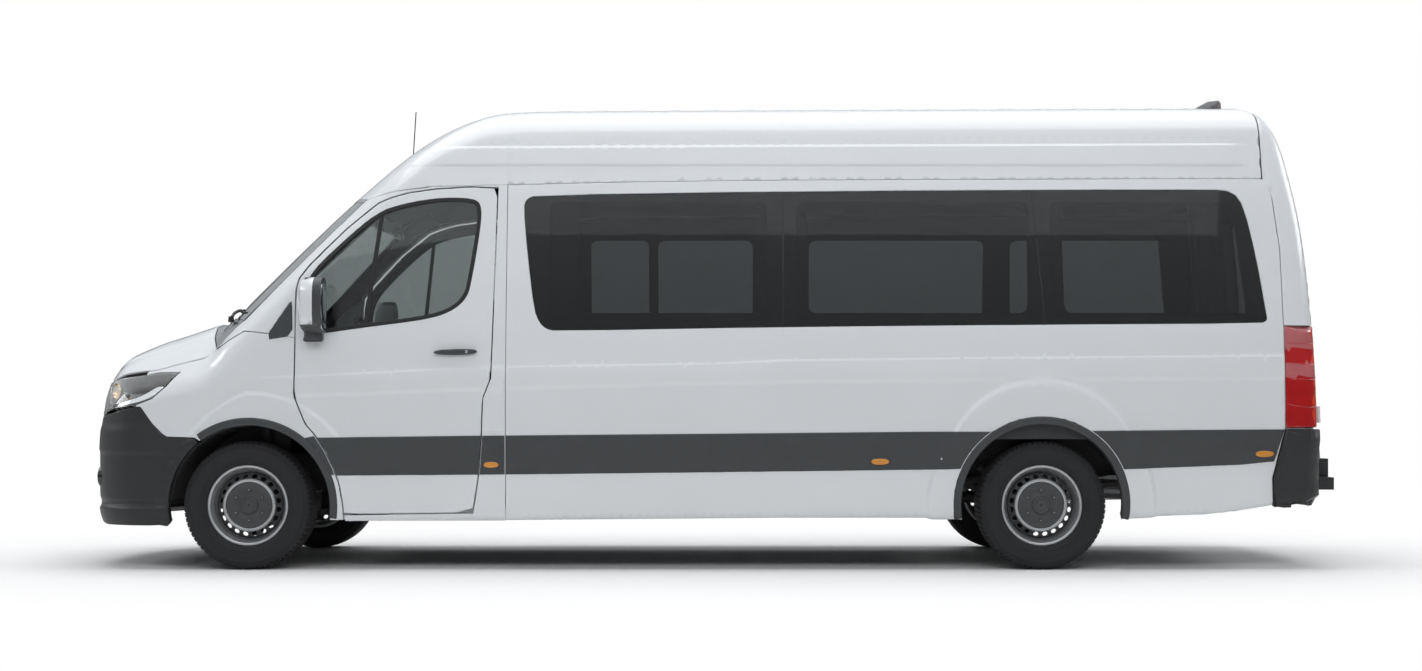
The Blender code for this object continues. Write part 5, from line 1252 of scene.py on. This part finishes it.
for place, (x, s) in {"front_left": (0.0, -1), "front_right": (0.0, 1), "rear_left": (WHEELBASE, -1),
                      "rear_right": (WHEELBASE, 1)}.items():
    c = (x, s * TRACK / 2, HUB_Z)
    body = "wheel_" + place
    pile = Pile()
    tyre(pile, c, s)
    pile.put("tyre_tread_" + place, ("tyre",), body, ("tyre_" + place,), "rubber", sharp=40)
    pile = Pile()
    pile.lathe(RIM_OUT, c, 0, 96, s)
    m = len(DISC_UV)
    for sign, slot_no in ((0.0, 1), (-0.004, 1)):
        v = [(c[0] + p[0], c[1] + s * (y + sign), c[2] + p[1]) for p, y in zip(DISC_UV, DISC_Y)]
        pile.add(v, DISC_TRI, slot_no, flipped=(s > 0) == (sign < 0.0))
    silver = (DISC_R[DISC_TRI].mean(axis=1) < 0.1445)
    pile.s[-len(DISC_TRI):] = [0 if q else 1 for q in silver]
    pile.s[-2 * len(DISC_TRI):-len(DISC_TRI)] = [0 if q else 1 for q in silver]
    edge_count = {}
    for t in DISC_TRI:
        for i, j in ((t[0], t[1]), (t[1], t[2]), (t[2], t[0])):
            edge_count[(i, j)] = 1
    n0 = len(pile.v) - 2 * m
    walls_f = [(n0 + i, n0 + j, n0 + m + j, n0 + m + i) for (i, j) in edge_count if (j, i) not in edge_count]
    pile.f += walls_f
    pile.s += [1] * len(walls_f)
    pile.put("wheel_disc_" + place, ("silver", "wheel_dark"), body, ("rim_" + place,), "steel", sharp=50)
    cap = Pile()
    prof = [(0.1275, 0.0500), (0.1270, 0.0585), (0.1235, 0.0605), (0.1100, 0.0560), (0.0900, 0.0535),
            (0.0560, 0.0560),
            (0.0500, 0.0600), (0.0480, 0.0680), (0.0440, 0.0715), (0.0380, 0.0712), (0.0350, 0.0680),
            (0.0330, 0.0665), (0.0040, 0.0672), (0.0040, 0.0400), (0.1275, 0.0400)]
    cap.lathe(prof, c, 0, 72, s)
    for k in range(6):
        a = math.radians(90 + 60 * k)
        px, pz = c[0] + 0.0800 * math.cos(a), c[2] + 0.0800 * math.sin(a)
        cap.rod((px, c[1] + s * 0.050, pz), (px, c[1] + s * 0.0600, pz), 0.0085, 0, 12, 0.0078)
        qx, qz = c[0] + 0.0835 * math.cos(a), c[2] + 0.0835 * math.sin(a)
        cap.rod((qx, c[1] + s * 0.058, qz), (qx, c[1] + s * 0.0612, qz), 0.0034, 1, 10, 0.0030)
    cap.put("wheel_cap_" + place, ("wheel_cap", "silver"), body, slot="plastic", sharp=30)

# ---- tail: frame, doors, lamps and bumper ----
class Ball:
    """Turn and rise of a ray from a point inside the van: the whole tail."""
    def __init__(self, centre=(4.70, 0.0, 1.45)):
        self.c = centre

    def out(self, u, v):
        d = (np.cos(v) * np.cos(u), np.cos(v) * np.sin(u), np.sin(v))
        c = self.c
        r = solve(lambda t: body_field(c[0] + t * d[0], c[1] + t * d[1], c[2] + t * d[2]), np.zeros_like(u),
                  np.full_like(u, 3.0))
        return np.stack([c[0] + r * d[0], r * d[1], c[2] + r * d[2]], 1)

    def back(self, p):
        q = np.asarray(p) - np.array(self.c)
        return np.stack([np.arctan2(q[:, 1], q[:, 0]), np.arctan2(q[:, 2], np.hypot(q[:, 0], q[:, 1]))], 1)


tail_map = Ball()


def rear3(points):
    return face_x(points, ahead=False)


def to_tail(*groups):
    return [tuple(q) for q in tail_map.back(np.concatenate(groups))]


def turned(p):
    return p[::-1] * np.array([1, -1, 1])


REAR_OPEN = [(-0.812, 0.668), (-0.812, 1.30), (-0.790, 1.75), (-0.745, 2.10), (-0.690, 2.330),
             (-0.640, 2.400),
             (0.640, 2.400), (0.690, 2.330), (0.745, 2.10), (0.790, 1.75), (0.812, 1.30), (0.812, 0.668)]
seam = side3(dense([(5.641, 1.333)] + REAR_SEAM[1:3] + [(5.570, 2.136)], 0.05)[:17])
t_edge = roof_map.back(seam[-1:])[0][1]
crown = roof_map.out(np.full(39, 5.5500), np.linspace(t_edge, -t_edge, 41)[1:-1])
left_foot = rear3([(-0.8165, 0.662), (-0.846, 0.662), (-0.850, 0.90), (-0.850, 1.15), (-0.850, 1.333)])
lamp_top = rear3([(-0.875, 1.333)])
frame_loop = np.concatenate([left_foot[1:], lamp_top, seam, crown, turned(seam), turned(lamp_top),
                             turned(left_foot[1:])])
inner_loop = rear3(dense([(-0.8155, 0.662)] + grown(REAR_OPEN, 0.003)[1:-1] + [(0.8155, 0.662)], 0.05))
cut_to = np.where(inner_loop[:, 2] < 0.6625)[0]
inner_loop = inner_loop[:cut_to[cut_to > 5][0] + 1] if len(cut_to[cut_to > 5]) else inner_loop
rear_line3 = np.concatenate([frame_loop, inner_loop[::-1]])
rear_skin = panel(tail_map, to_tail(rear_line3), step=(0.04, 0.03), lift=OVER_SOLID, depth=0.0, edge=0.003,
                  raw=True)
put("rear_frame_skin", rear_skin, ("paint",))

lamp_side = side3(dense([(5.6445, 0.772), (5.6445, 1.328)], 0.04)[:15])
lamp_back = rear3([(-0.853, z) for z in np.linspace(1.328, 0.772, 14)])
lamp_loop = to_tail(lamp_side, rear3([(-0.895, 1.328), (-0.872, 1.328)]), lamp_back, rear3([(-0.872, 0.772),
                                                                                         (-0.897, 0.772)]))
tail_lens = panel(tail_map, lamp_loop, step=(0.02, 0.02), lift=0.004, depth=0.012, edge=0.005, raw=True)
kinds = []
v, f, n, s = tail_lens
for t in f:
    m = np.mean(v[list(t)], axis=0)
    kinds.append(1 if 1.045 < m[2] < 1.125 else (2 if m[0] > 5.80 and m[2] > 0.80 else
                                                 (3 if m[2] > 1.20 else 0)))
tail_lens = (v, f, n, kinds)
ribs = [panel(tail_map, to_tail(side3([(5.652, z - 0.002), (5.652, z + 0.002)]), rear3([(-0.90, z + 0.002),
        (-0.86, z + 0.002), (-0.86, z - 0.002), (-0.90, z - 0.002)])), step=EDGE_ONLY, lift=0.0062,
        depth=-0.002, edge=0.001)
        for z in (0.90, 1.045, 1.125, 1.235)]
for tag, turn in SIDES:
    put("tail_lamp_%s_lens" % tag, turn(merge(tail_lens, *ribs)),
        ("red", "pale_red", "orange_red", "pale_red"),
        over=("tail_lamp_" + tag,))

rear_side = [p for p in REAR_OPEN if p[0] < 0] + [(-0.006, 2.400), (-0.006, 0.668)]
PANE = soften([(-0.640, 1.400), (-0.625, 1.75), (-0.590, 2.00), (-0.560, 2.04), (-0.120, 2.04),
               (-0.085, 2.00), (-0.085, 1.42), (-0.110, 1.385), (-0.610, 1.380)], 1)


def tail_plate(line, holes=(), **kw):
    return panel(tail_map, to_tail(rear3(dense(line, 0.03))), [to_tail(rear3(dense(h, 0.03))) for h in holes],
                 raw=True, **kw)


def door_shape(p):
    """A pressed field below the glass and a shallow waist line."""
    y, z = np.abs(p[:, 1]), p[:, 2]
    field = ease((z - 0.76) / 0.03) * ease((1.30 - z) / 0.03)
    field = field * ease((y - 0.075) / 0.03) * ease((0.745 - y) / 0.03)
    return 0.0055 - 0.0045 * field


door_skin = tail_plate(soften(grown(rear_side, -0.0005), 1, 0.1), [PANE], step=(0.035, 0.025),
                       lift=OVER_SOLID, depth=0.0, edge=0.003, shape=door_shape)
pane_skin = tail_plate(grown(PANE, 0.010), step=(0.05, 0.04), lift=0.0085, depth=-0.004, edge=0.003)
pane_frit = tail_plate(grown(PANE, 0.008), [grown(PANE, -0.028)], step=EDGE_ONLY, lift=0.0035, depth=-0.002,
                       edge=0.0)
for tag, turn in SIDES:
    body = "rear_door_" + tag
    put("rear_door_%s_skin" % tag, turn(door_skin), ("paint",), body)
    put("rear_window_%s_pane" % tag, turn(pane_skin), ("glass",), body, ("rear_window_" + tag,))
    put("rear_window_%s_border" % tag, turn(pane_frit), ("gloss_black",), body)
    pile = Pile()
    z = 1.060
    c = rear3([(-0.075 if tag == "left" else -0.085, z)])[0] + np.array([0.008, 0, 0])
    pts = soften([(c[1] - 0.095, z - 0.020), (c[1] + 0.045, z - 0.020), (c[1] + 0.045, z + 0.020),
                  (c[1] - 0.095, z + 0.020)], 2, 0.25)
    pile.rings([[(c[0] + h, c[1] + (y - c[1]) * q, z + (w - z) * q) for y, w in pts]
                for h, q in ((0.0, 1.0), (0.010, 0.97), (0.014, 0.80), (0.008, 0.72))], 0)
    pile = pile if tag == "left" else pile.mirrored()
    pile.put("rear_door_handle_" + tag, ("plastic",), body, slot="plastic")
    hinges = Pile()
    for z in (1.745, 0.830):
        c = rear3([(-0.800, z)])[0]
        hinges.rings([[(c[0] + h, y, w) for y,
                       w in soften([(-0.795, z - 0.030), (-0.735, z - 0.026), (-0.735, z + 0.026),
                      (-0.795, z + 0.030)], 1, 0.3)] for h in (0.000, 0.012)], 0)
    hinges = hinges if tag == "left" else hinges.mirrored()
    hinges.put("rear_hinge_leaf_" + tag, ("paint",), body, slot="paint", bevel=0.002)
plate = Pile()
c = rear3([(-0.36, 0.86)])[0]
plate.rings([[(c[0] + h, y, z) for y,
              z in soften([(-0.625, 0.800), (-0.100, 0.800), (-0.100, 0.920), (-0.625, 0.920)], 1, 0.06)]
             for h in (0.004, 0.0115)], 0)
plate.put("rear_plate_holder", ("plate",), "rear_door_left", slot="plastic", bevel=0.001)

low3 = side3([(5.5820, 0.352), (5.5775, 0.43), (5.5765, 0.500), (5.597, 0.58), (5.620, 0.67),
              (5.6405, 0.765)])
back3 = rear3([(-0.900, 0.765), (-0.875, 0.765), (-0.852, 0.765), (-0.835, 0.71), (-0.824, 0.6545)]
              + [(y, 0.6545) for y in np.linspace(-0.78, 0, 20)])
foot3 = rear3([(y, 0.392) for y in np.linspace(-0.86, 0.0, 18)])
foot3 = np.concatenate([side3([(5.66, 0.362), (5.74, 0.372)]), foot3])
loop = np.concatenate([low3, back3, turned(back3)[1:], turned(low3)])
foot_all = np.concatenate([foot3, turned(foot3)[1:]])
loop = np.concatenate([loop, foot_all[::-1]])


def rear_bump_shape(p):
    """A step under the upper edge and a pressed line."""
    z = p[:, 2]
    return 0.004 * ease((z - 0.600) / 0.02) - 0.004 * np.exp(-((z - 0.500) / 0.012) ** 2)


bump = panel(tail_map, to_tail(loop), step=(0.035, 0.025), lift=0.0192, depth=0.0, edge=0.006, raw=True,
             shape=rear_bump_shape)
put("rear_bumper_skin", bump, ("bumper",))

# ---- seats, steering wheel and cab ----
def cushion(pile, centre, half, lean=0.0, slot=0, e=0.42, seams=(), crown=0.0, n=(28, 40)):
    """A stuffed block with rounded sides, pressed seams across its length and a slight crown."""
    c, s = math.cos(lean), math.sin(lean)
    loops = []
    for i in range(n[0] + 1):
        t = math.pi * (i / n[0] - 0.5)
        zt, rt = math.copysign(abs(math.sin(t)) ** e, math.sin(t)), max(abs(math.cos(t)), 1e-4) ** e
        ring = []
        for k in range(n[1]):
            a = 2 * math.pi * k / n[1]
            x = half[0] * rt * math.copysign(abs(math.cos(a)) ** e, math.cos(a))
            y = half[1] * rt * math.copysign(abs(math.sin(a)) ** e, math.sin(a))
            z = half[2] * zt
            press = sum(math.exp(-((y / half[1] - q) / 0.035) ** 2) for q in seams)
            x *= 1 - 0.10 * press
            x += crown * (1 - (y / half[1]) ** 2) * (1 - (z / half[2]) ** 2) * (-1 if x < 0 else 1)
            ring.append((centre[0] + x * c + z * s, centre[1] + y, centre[2] - x * s + z * c))
        loops.append(ring)
    pile.rings(loops, slot)


for who, y0, y1 in (("driver", -0.690, -0.190), ("passenger", -0.125, 0.750)):
    wide = y1 - y0
    places = [(y0 + y1) / 2] if who == "driver" else [y0 + wide * 0.27, y0 + wide * 0.74]
    base = Pile()
    base.rings([[(x, y, z) for x,
                 y in ((0.790, y0 + 0.03), (1.200, y0 + 0.03), (1.200, y1 - 0.03), (0.790, y1 - 0.03))]
                for z in (0.641, 0.880)], 0)
    base.put(who + "_seat_box", ("trim",), slot="plastic", bevel=0.012)
    for k, yc in enumerate(places):
        w = wide / len(places) / 2 - 0.004
        tag = who if who == "driver" else "passenger_%s" % "ab"[k]
        for part, centre, half, lean, crown, seams in (
                ("seat", (0.985, yc, 0.955), (0.245, w, 0.075), -0.08, 0.0, ()),
                ("back", (1.300, yc, 1.260), (0.062, w - 0.012, 0.300), 0.245, 0.012, (-0.55, 0.55)),
                ("headrest", (1.412, yc, 1.672), (0.045, 0.130, 0.098), 0.16, 0.008, ())):
            pile = Pile()
            if part == "seat":
                cushion(pile, centre, (half[2], half[1], half[0]), math.pi / 2 + lean, 0, 0.40, (-0.6, 0.6),
                        0.010)
            else:
                cushion(pile, centre, half, lean, 0, 0.42, seams, crown)
            for i, f in enumerate(pile.f):
                q = np.mean([pile.v[j][1] for j in f]) - yc
                pile.s[i] = 1 if abs(q) > 0.62 * w and part != "headrest" else 0
            if part == "headrest":
                for d in (-0.045, 0.045):
                    pile.rod((1.388, yc + d, 1.500), (1.400, yc + d, 1.620), 0.006, 2, 10)
            obj = pile.put("%s_%s" % (tag, "cushion" if part == "seat" else part),
                           ("cloth", "cloth_side", "steel"), over=(who + "_seat",), slot="cloth",
                           sharp=60)

tilt = math.radians(28)
axis = np.array((math.cos(tilt), 0, math.sin(tilt)))
up = np.array((-math.sin(tilt), 0, math.cos(tilt)))
hub = np.array((0.575, -0.410, 1.235))
wheel = Pile()
loops = []
for k in range(64):
    t = 2 * math.pi * k / 64
    d = math.cos(t) * np.array((0, 1, 0)) + math.sin(t) * up
    grip = 0.0145 + 0.0015 * math.cos(4 * t)
    loops.append([tuple(hub + d * (0.190 + grip * math.cos(a)) + axis * grip * math.sin(a))
                  for a in turns(14)])
wheel.rings(loops, 0, closed=True)
for a in (0.15, math.pi - 0.15, -math.pi / 2):
    d = math.cos(a) * np.array((0, 1, 0)) + math.sin(a) * up
    side_way = np.cross(d, axis)
    wheel.rings([[tuple(hub + d * r + side_way * w * u + axis * h * v - axis * 0.008) for u, v in
                  ((-1, -1), (1, -1), (1.0, 0.4), (0.7, 1), (-0.7, 1), (-1.0, 0.4))]
                 for r, w, h in ((0.030, 0.034, 0.012), (0.110, 0.019, 0.008), (0.186, 0.016, 0.007))], 0)
pad = [[tuple(hub + (math.cos(t) * np.array((0, 1,
        0)) + math.sin(t) * up) * r * (1 + 0.07 * math.cos(2 * t)) + axis * h)
        for t in turns(40)]
       for r, h in ((0.040, -0.045), (0.060, -0.030), (0.066, -0.004), (0.062, 0.010), (0.045, 0.016),
                    (0.010, 0.017))]
wheel.rings(pad, 0)
wheel.rod(tuple(hub - axis * 0.1995), tuple(hub - axis * 0.02), 0.030, 0, 20)
wheel.put("steering_wheel_grip", ("dash",), "body", ("steering_wheel",), "plastic")

cab = Pile()
cab.rod((0.735, 0.0, 1.985), (0.660, 0.0, 1.930), 0.008, 0, 12)
cab.rings([[(x, y, z) for y, z in soften([(-0.115, 1.892), (0.115, 1.892), (0.122, 1.925), (0.112, 1.952),
                                          (-0.112, 1.952), (-0.122, 1.925)], 1, 0.25)]
                                          for x in (0.640, 0.652, 0.664)], 0)
cab.put("interior_mirror", ("gloss_black",), slot="plastic", bevel=0.002)
visor = Pile()
for s in (-1, 1):
    visor.rings([[(x, s * y, z) for x, z in ((0.640, 1.985), (0.800, 2.065), (0.804, 2.053), (0.646, 1.973))]
                 for y in (0.170, 0.175, 0.600, 0.605)], 0)
visor.put("sun_visors", ("lining",), slot="plastic", bevel=0.003)

# ---- handles, markers and small outer pieces ----
def side_line(line, lift=0.001, depth=0.0, edge=0.0015, shape=side_shape, r=0, step=EDGE_ONLY, holes=()):
    line = soften(line, r) if r else line
    return panel(side, line, holes, step=step, lift=lift, depth=depth, edge=edge, shape=shape)


cup = side_line([(1.000, 1.158), (1.015, 1.204), (1.245, 1.208), (1.262, 1.190), (1.250, 1.158),
                 (1.13, 1.150)], 0.0025,
                r=2, step=(0.03, 0.02))
grip = side_line([(1.020, 1.168), (1.022, 1.192), (1.180, 1.199), (1.252, 1.196), (1.254, 1.176),
                  (1.180, 1.166)],
                 0.030, depth=-0.008, edge=0.007, r=2, step=(0.03, 0.01))
lock = side_line([(1.198 + 0.0075 * math.cos(t), 1.1825 + 0.0075 * math.sin(t)) for t in
                  turns(16)], 0.032, depth=-0.030, edge=0.0015)
for tag, turn in SIDES:
    body = "front_door_" + tag
    put("door_handle_cup_" + tag, turn(cup), ("paint",), body)
    put("door_handle_" + tag, turn(grip), ("plastic",), body)
    put("door_lock_" + tag, turn(lock), ("chrome",), body)
slide_grip = side_line([(1.500, 1.168), (1.502, 1.192), (1.660, 1.199), (1.700, 1.196), (1.702, 1.176),
                        (1.660, 1.166)],
                       0.026, depth=-0.008, edge=0.007, r=2, step=(0.03, 0.01))
slide_cup = side_line([(1.480, 1.156), (1.490, 1.204), (1.705, 1.208), (1.718, 1.190), (1.706, 1.158),
                       (1.60, 1.150)],
                      0.0025, r=2, step=(0.03, 0.02))
put("sliding_door_handle", flip(slide_grip), ("plastic",))
put("sliding_door_cup", flip(slide_cup), ("paint",))

flap = side_line([(1.2855, 0.748), (1.3990, 0.750), (1.3990, 1.035), (1.3290, 1.035), (1.2900, 0.930)],
                 0.0030, edge=0.003, step=(0.03, 0.03))
put("filler_flap", flap, ("paint",))
for tag, turn in SIDES:
    marks = []
    rims = []
    for x0, x1, z0, z1 in ((1.292, 1.372, 0.556, 0.588), (3.392, 3.488, 0.572, 0.606),
                           (5.476, 5.574, 0.614, 0.648)):
        line = [(x0, z0), (x1, z0 + 0.001), (x1, z1), (x0, z1)]
        marks.append(side_line(soften(line, 3, 0.25), 0.0150, depth=-0.004, edge=0.004, step=(0.02, 0.01)))
        rims.append(side_line(soften(grown(line, 0.004), 3, 0.25), 0.0095, depth=-0.004, edge=0.003,
                              step=(0.03, 0.02)))
    put("side_markers_" + tag, turn(merge(*marks)), ("amber",))
    put("side_marker_rims_" + tag, turn(merge(*rims)), ("plastic",))

wipers = Pile()
for y0, y1 in ((-0.62, -0.06), (-0.02, 0.56)):
    n = 12
    pts = []
    for k in range(n):
        t = k / (n - 1)
        y = y0 + (y1 - y0) * t
        z = 1.425 + 0.012 * t
        p = face_x([(y, z)])
        nrm = normals_at(p)[0]
        pts.append(p[0] + nrm * 0.010)
    wipers.tube(pts, 0.006, 0, 10)
    base = face_x([(y0 + 0.04, 1.392)])[0] + np.array([-0.045, 0, -0.004])
    mid = pts[n // 2] + np.array([-0.006, 0, 0.010])
    wipers.tube([base, base + (mid - base) * 0.35 + np.array([-0.003, 0, 0.012]), base + (mid - base) * 0.7
                 + np.array([-0.002, 0, 0.010]), mid], 0.009, 0, 10)
    wipers.rod(base + np.array([0, 0, -0.020]), base + np.array([0, 0, 0.012]), 0.018, 0, 20, 0.014)
wipers.put("wiper_arms", ("black",), slot="plastic")

aerial = Pile()
root = np.array([0.728, 0.0, float(middle_top(0.728))])
aerial.rod(root + np.array([0.004, 0, -0.004]), root + np.array([0.010, 0, 0.030]), 0.022, 0, 24, 0.010)
aerial.tube([root + np.array([0.010 + 0.018 * t, 0, 0.028 + 0.285 * t]) for t in np.linspace(0, 1, 8)],
            0.0032, 0, 10)
aerial.put("roof_aerial", ("black",), slot="rubber")
pod = Pile()
loops = []
for k in range(17):
    t = -1 + 2 * k / 16
    q = max(1 - abs(t) ** 3, 0.02) ** 0.5
    y = 0.195 * t
    zb = float(middle_top(5.43)) - 0.012
    loops.append([(5.430 + 0.100 * q * a, y, zb + (0.012 + 0.078 * q) * b) for a, b in
                  ((-1, 0), (1.0, 0), (1.0, 0.72), (0.94, 0.92), (0.80, 1.0), (0.2, 0.92), (-0.6, 0.45))])
pod.rings(loops, 0)
pod.s = [1 if np.mean([pod.v[i][0]
                       for i in f]) > 5.505 and abs(np.mean([pod.v[i][1] for i in f])) < 0.15 else 0
         for f in pod.f]
pod.put("brake_light_pod", ("plastic", "red"), slot="plastic")

front_plate = Pile()
c = face_x([(0, 0.585)])[0]
front_plate.rings([[(c[0] - h, y, z) for y,
                    z in soften([(-0.262, 0.528), (0.262, 0.528), (0.262, 0.642), (-0.262, 0.642)], 1, 0.06)]
                   for h in (0.001, 0.0105)], 0)
front_plate.put("front_plate_holder", ("plate",), slot="plastic", bevel=0.001)

# ---- looks of the solids that stay ----
def two_sided(name, outer, inner, half):
    """Body colour on the outside and dark trim within the given half width."""
    mat = look(name, outer, 0.34, coat=0.8, grain=0.015, size=90.0, tone=0.012, blend=1.5, vary=0.03)
    tree = mat.node_tree
    shader = tree.nodes["Principled BSDF"]
    ramp = shader.inputs["Base Color"].links[0].from_node
    place = tree.nodes.new("ShaderNodeTexCoord")
    parts = tree.nodes.new("ShaderNodeSeparateXYZ")
    tree.links.new(place.outputs["Object"], parts.inputs[0])
    size = tree.nodes.new("ShaderNodeMath")
    size.operation = "ABSOLUTE"
    tree.links.new(parts.outputs["Y"], size.inputs[0])
    far = tree.nodes.new("ShaderNodeMath")
    far.operation = "GREATER_THAN"
    far.inputs[1].default_value = half
    tree.links.new(size.outputs[0], far.inputs[0])
    mix = tree.nodes.new("ShaderNodeMix")
    mix.data_type = "RGBA"
    mix.inputs["A"].default_value = inner + (1,)
    tree.links.new(far.outputs[0], mix.inputs["Factor"])
    tree.links.new(ramp.outputs["Color"], mix.inputs["B"])
    tree.links.new(mix.outputs["Result"], shader.inputs["Base Color"])
    return mat


LOOKS["cab_mix"] = two_sided("cab_frame_paint", (0.700, 0.718, 0.735), (0.030, 0.031, 0.033), 0.80)
KEPT = {"cab_frame": "cab_mix", "rear_frame": "paint", "rear_door_left": "paint", "rear_door_right": "paint",
        "rear_bumper": "bumper", "floor_pan": "under", "front_axle": "dark_steel", "rear_axle": "dark_steel",
        "engine_block": "dark_steel", "radiator": "steel", "exhaust": "steel", "fuel_tank": "plastic",
        "knuckle_left": "dark_steel", "knuckle_right": "dark_steel", "dashboard": "dash"}
for node, kind in KEPT.items():
    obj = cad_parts[node]
    for one in (obj.material_slots or ()):
        one.material = LOOKS[kind]
    if not obj.material_slots:
        obj.data.materials.append(LOOKS[kind])

# ---- floor, light and camera ----
def stage():
    def sheet(name, pts):
        data = bpy.data.meshes.new(name)
        data.from_pydata(pts, [], [(0, 1, 2, 3)])
        obj = bpy.data.objects.new(name, data)
        bpy.context.scene.collection.objects.link(obj)
        return obj

    ground = sheet("studio_floor", [(-60, -40, 0), (60, -40, 0), (60, 60, 0), (-60, 60, 0)])
    mat = bpy.data.materials.new("studio_floor")
    mat.use_nodes = True
    tree = mat.node_tree
    shader = tree.nodes["Principled BSDF"]
    shader.inputs["Roughness"].default_value = 0.9
    shader.inputs["Specular IOR Level"].default_value = 0.1
    noise = tree.nodes.new("ShaderNodeTexNoise")
    noise.inputs["Scale"].default_value = 3.0
    ramp = tree.nodes.new("ShaderNodeValToRGB")
    ramp.color_ramp.elements[0].color = (0.93, 0.93, 0.93, 1)
    ramp.color_ramp.elements[1].color = (0.95, 0.95, 0.95, 1)
    tree.links.new(noise.outputs["Fac"], ramp.inputs["Fac"])
    tree.links.new(ramp.outputs["Color"], shader.inputs["Base Color"])
    place = tree.nodes.new("ShaderNodeTexCoord")
    squeeze = tree.nodes.new("ShaderNodeMapping")
    squeeze.inputs["Scale"].default_value = (1 / 5.2, 1 / 2.6, 1.0)
    reach = tree.nodes.new("ShaderNodeVectorMath")
    reach.operation = "LENGTH"
    fade = tree.nodes.new("ShaderNodeMapRange")
    fade.inputs["From Min"].default_value, fade.inputs["From Max"].default_value = 0.75, 1.25
    white = tree.nodes.new("ShaderNodeEmission")
    white.inputs["Color"].default_value = (1, 1, 1, 1)
    white.inputs["Strength"].default_value = 1.0
    path = tree.nodes.new("ShaderNodeLightPath")
    both = tree.nodes.new("ShaderNodeMath")
    both.operation = "MULTIPLY"
    mix = tree.nodes.new("ShaderNodeMixShader")
    tree.links.new(place.outputs["Object"], squeeze.inputs["Vector"])
    tree.links.new(squeeze.outputs["Vector"], reach.inputs[0])
    tree.links.new(reach.outputs["Value"], fade.inputs["Value"])
    tree.links.new(fade.outputs["Result"], both.inputs[0])
    tree.links.new(path.outputs["Is Camera Ray"], both.inputs[1])
    tree.links.new(both.outputs[0], mix.inputs[0])
    tree.links.new(shader.outputs[0], mix.inputs[1])
    tree.links.new(white.outputs[0], mix.inputs[2])
    tree.links.new(mix.outputs[0], tree.nodes["Material Output"].inputs["Surface"])
    ground.data.materials.append(mat)

    world = bpy.data.worlds.new("studio")
    bpy.context.scene.world = world
    world.use_nodes = True
    tree = world.node_tree
    tree.nodes.clear()
    out = tree.nodes.new("ShaderNodeOutputWorld")
    light = tree.nodes.new("ShaderNodeBackground")
    light.inputs["Color"].default_value = (0.90, 0.95, 1.0, 1)
    light.inputs["Strength"].default_value = 0.27
    plain = tree.nodes.new("ShaderNodeBackground")
    plain.inputs["Color"].default_value = (1, 1, 1, 1)
    plain.inputs["Strength"].default_value = 1.0
    gloss = tree.nodes.new("ShaderNodeBackground")
    place = tree.nodes.new("ShaderNodeTexCoord")
    parts = tree.nodes.new("ShaderNodeSeparateXYZ")
    ramp = tree.nodes.new("ShaderNodeValToRGB")
    ramp.color_ramp.elements[0].position, ramp.color_ramp.elements[0].color = 0.10, (0.10, 0.10, 0.10, 1)
    ramp.color_ramp.elements[1].position, ramp.color_ramp.elements[1].color = 0.42, (0.80, 0.84, 0.88, 1)
    mid = ramp.color_ramp.elements.new(0.185)
    mid.color = (0.13, 0.13, 0.13, 1)
    mid = ramp.color_ramp.elements.new(0.200)
    mid.color = (0.42, 0.44, 0.46, 1)
    tree.links.new(place.outputs["Generated"], parts.inputs[0])
    tree.links.new(parts.outputs["Z"], ramp.inputs["Fac"])
    tree.links.new(ramp.outputs["Color"], gloss.inputs["Color"])
    path = tree.nodes.new("ShaderNodeLightPath")
    seen = tree.nodes.new("ShaderNodeMath")
    seen.operation = "MAXIMUM"
    tree.links.new(path.outputs["Is Camera Ray"], seen.inputs[0])
    tree.links.new(path.outputs["Is Transmission Ray"], seen.inputs[1])
    one = tree.nodes.new("ShaderNodeMixShader")
    two = tree.nodes.new("ShaderNodeMixShader")
    tree.links.new(path.outputs["Is Glossy Ray"], one.inputs[0])
    tree.links.new(light.outputs[0], one.inputs[1])
    tree.links.new(gloss.outputs[0], one.inputs[2])
    tree.links.new(seen.outputs[0], two.inputs[0])
    tree.links.new(one.outputs[0], two.inputs[1])
    tree.links.new(plain.outputs[0], two.inputs[2])
    tree.links.new(two.outputs[0], out.inputs["Surface"])

    def lamp(name, place, aim, size, power, shine=True):
        data = bpy.data.lights.new(name, "AREA")
        data.shape, data.size, data.size_y, data.energy = "RECTANGLE", size[0], size[1], power
        obj = bpy.data.objects.new(name, data)
        obj.location = place
        obj.rotation_euler = (Vector(aim) - Vector(place)).to_track_quat("-Z", "Y").to_euler()
        obj.visible_glossy = shine
        bpy.context.scene.collection.objects.link(obj)

    lamp("top_light", (0, 0, 7.5), (0, 0, 0), (12, 7), 510)
    for name, y in (("left_light", -9.0), ("right_light", 9.0)):
        lamp(name, (0, y, 6.0), (0, 0, 1.2), (11, 2.5), 285, False)
    for name, x in (("front_light", -9.5), ("rear_light", 9.5)):
        lamp(name, (x, 0, 4.5), (0, 0, 1.0), (5, 2.5), 130)

    cam = bpy.data.cameras.new("camera")
    cam.lens, cam.sensor_width = 47.1, 36.0
    cam.shift_x, cam.shift_y = -0.01505, 0.0593
    cam.clip_end = 300
    obj = bpy.data.objects.new("camera", cam)
    obj.location = (0.160, -11.078, 0.816)
    obj.rotation_euler = (math.pi / 2, 0, 0)
    bpy.context.scene.collection.objects.link(obj)
    bpy.context.scene.camera = obj


stage()
bpy.context.scene.view_settings.view_transform = "Standard"
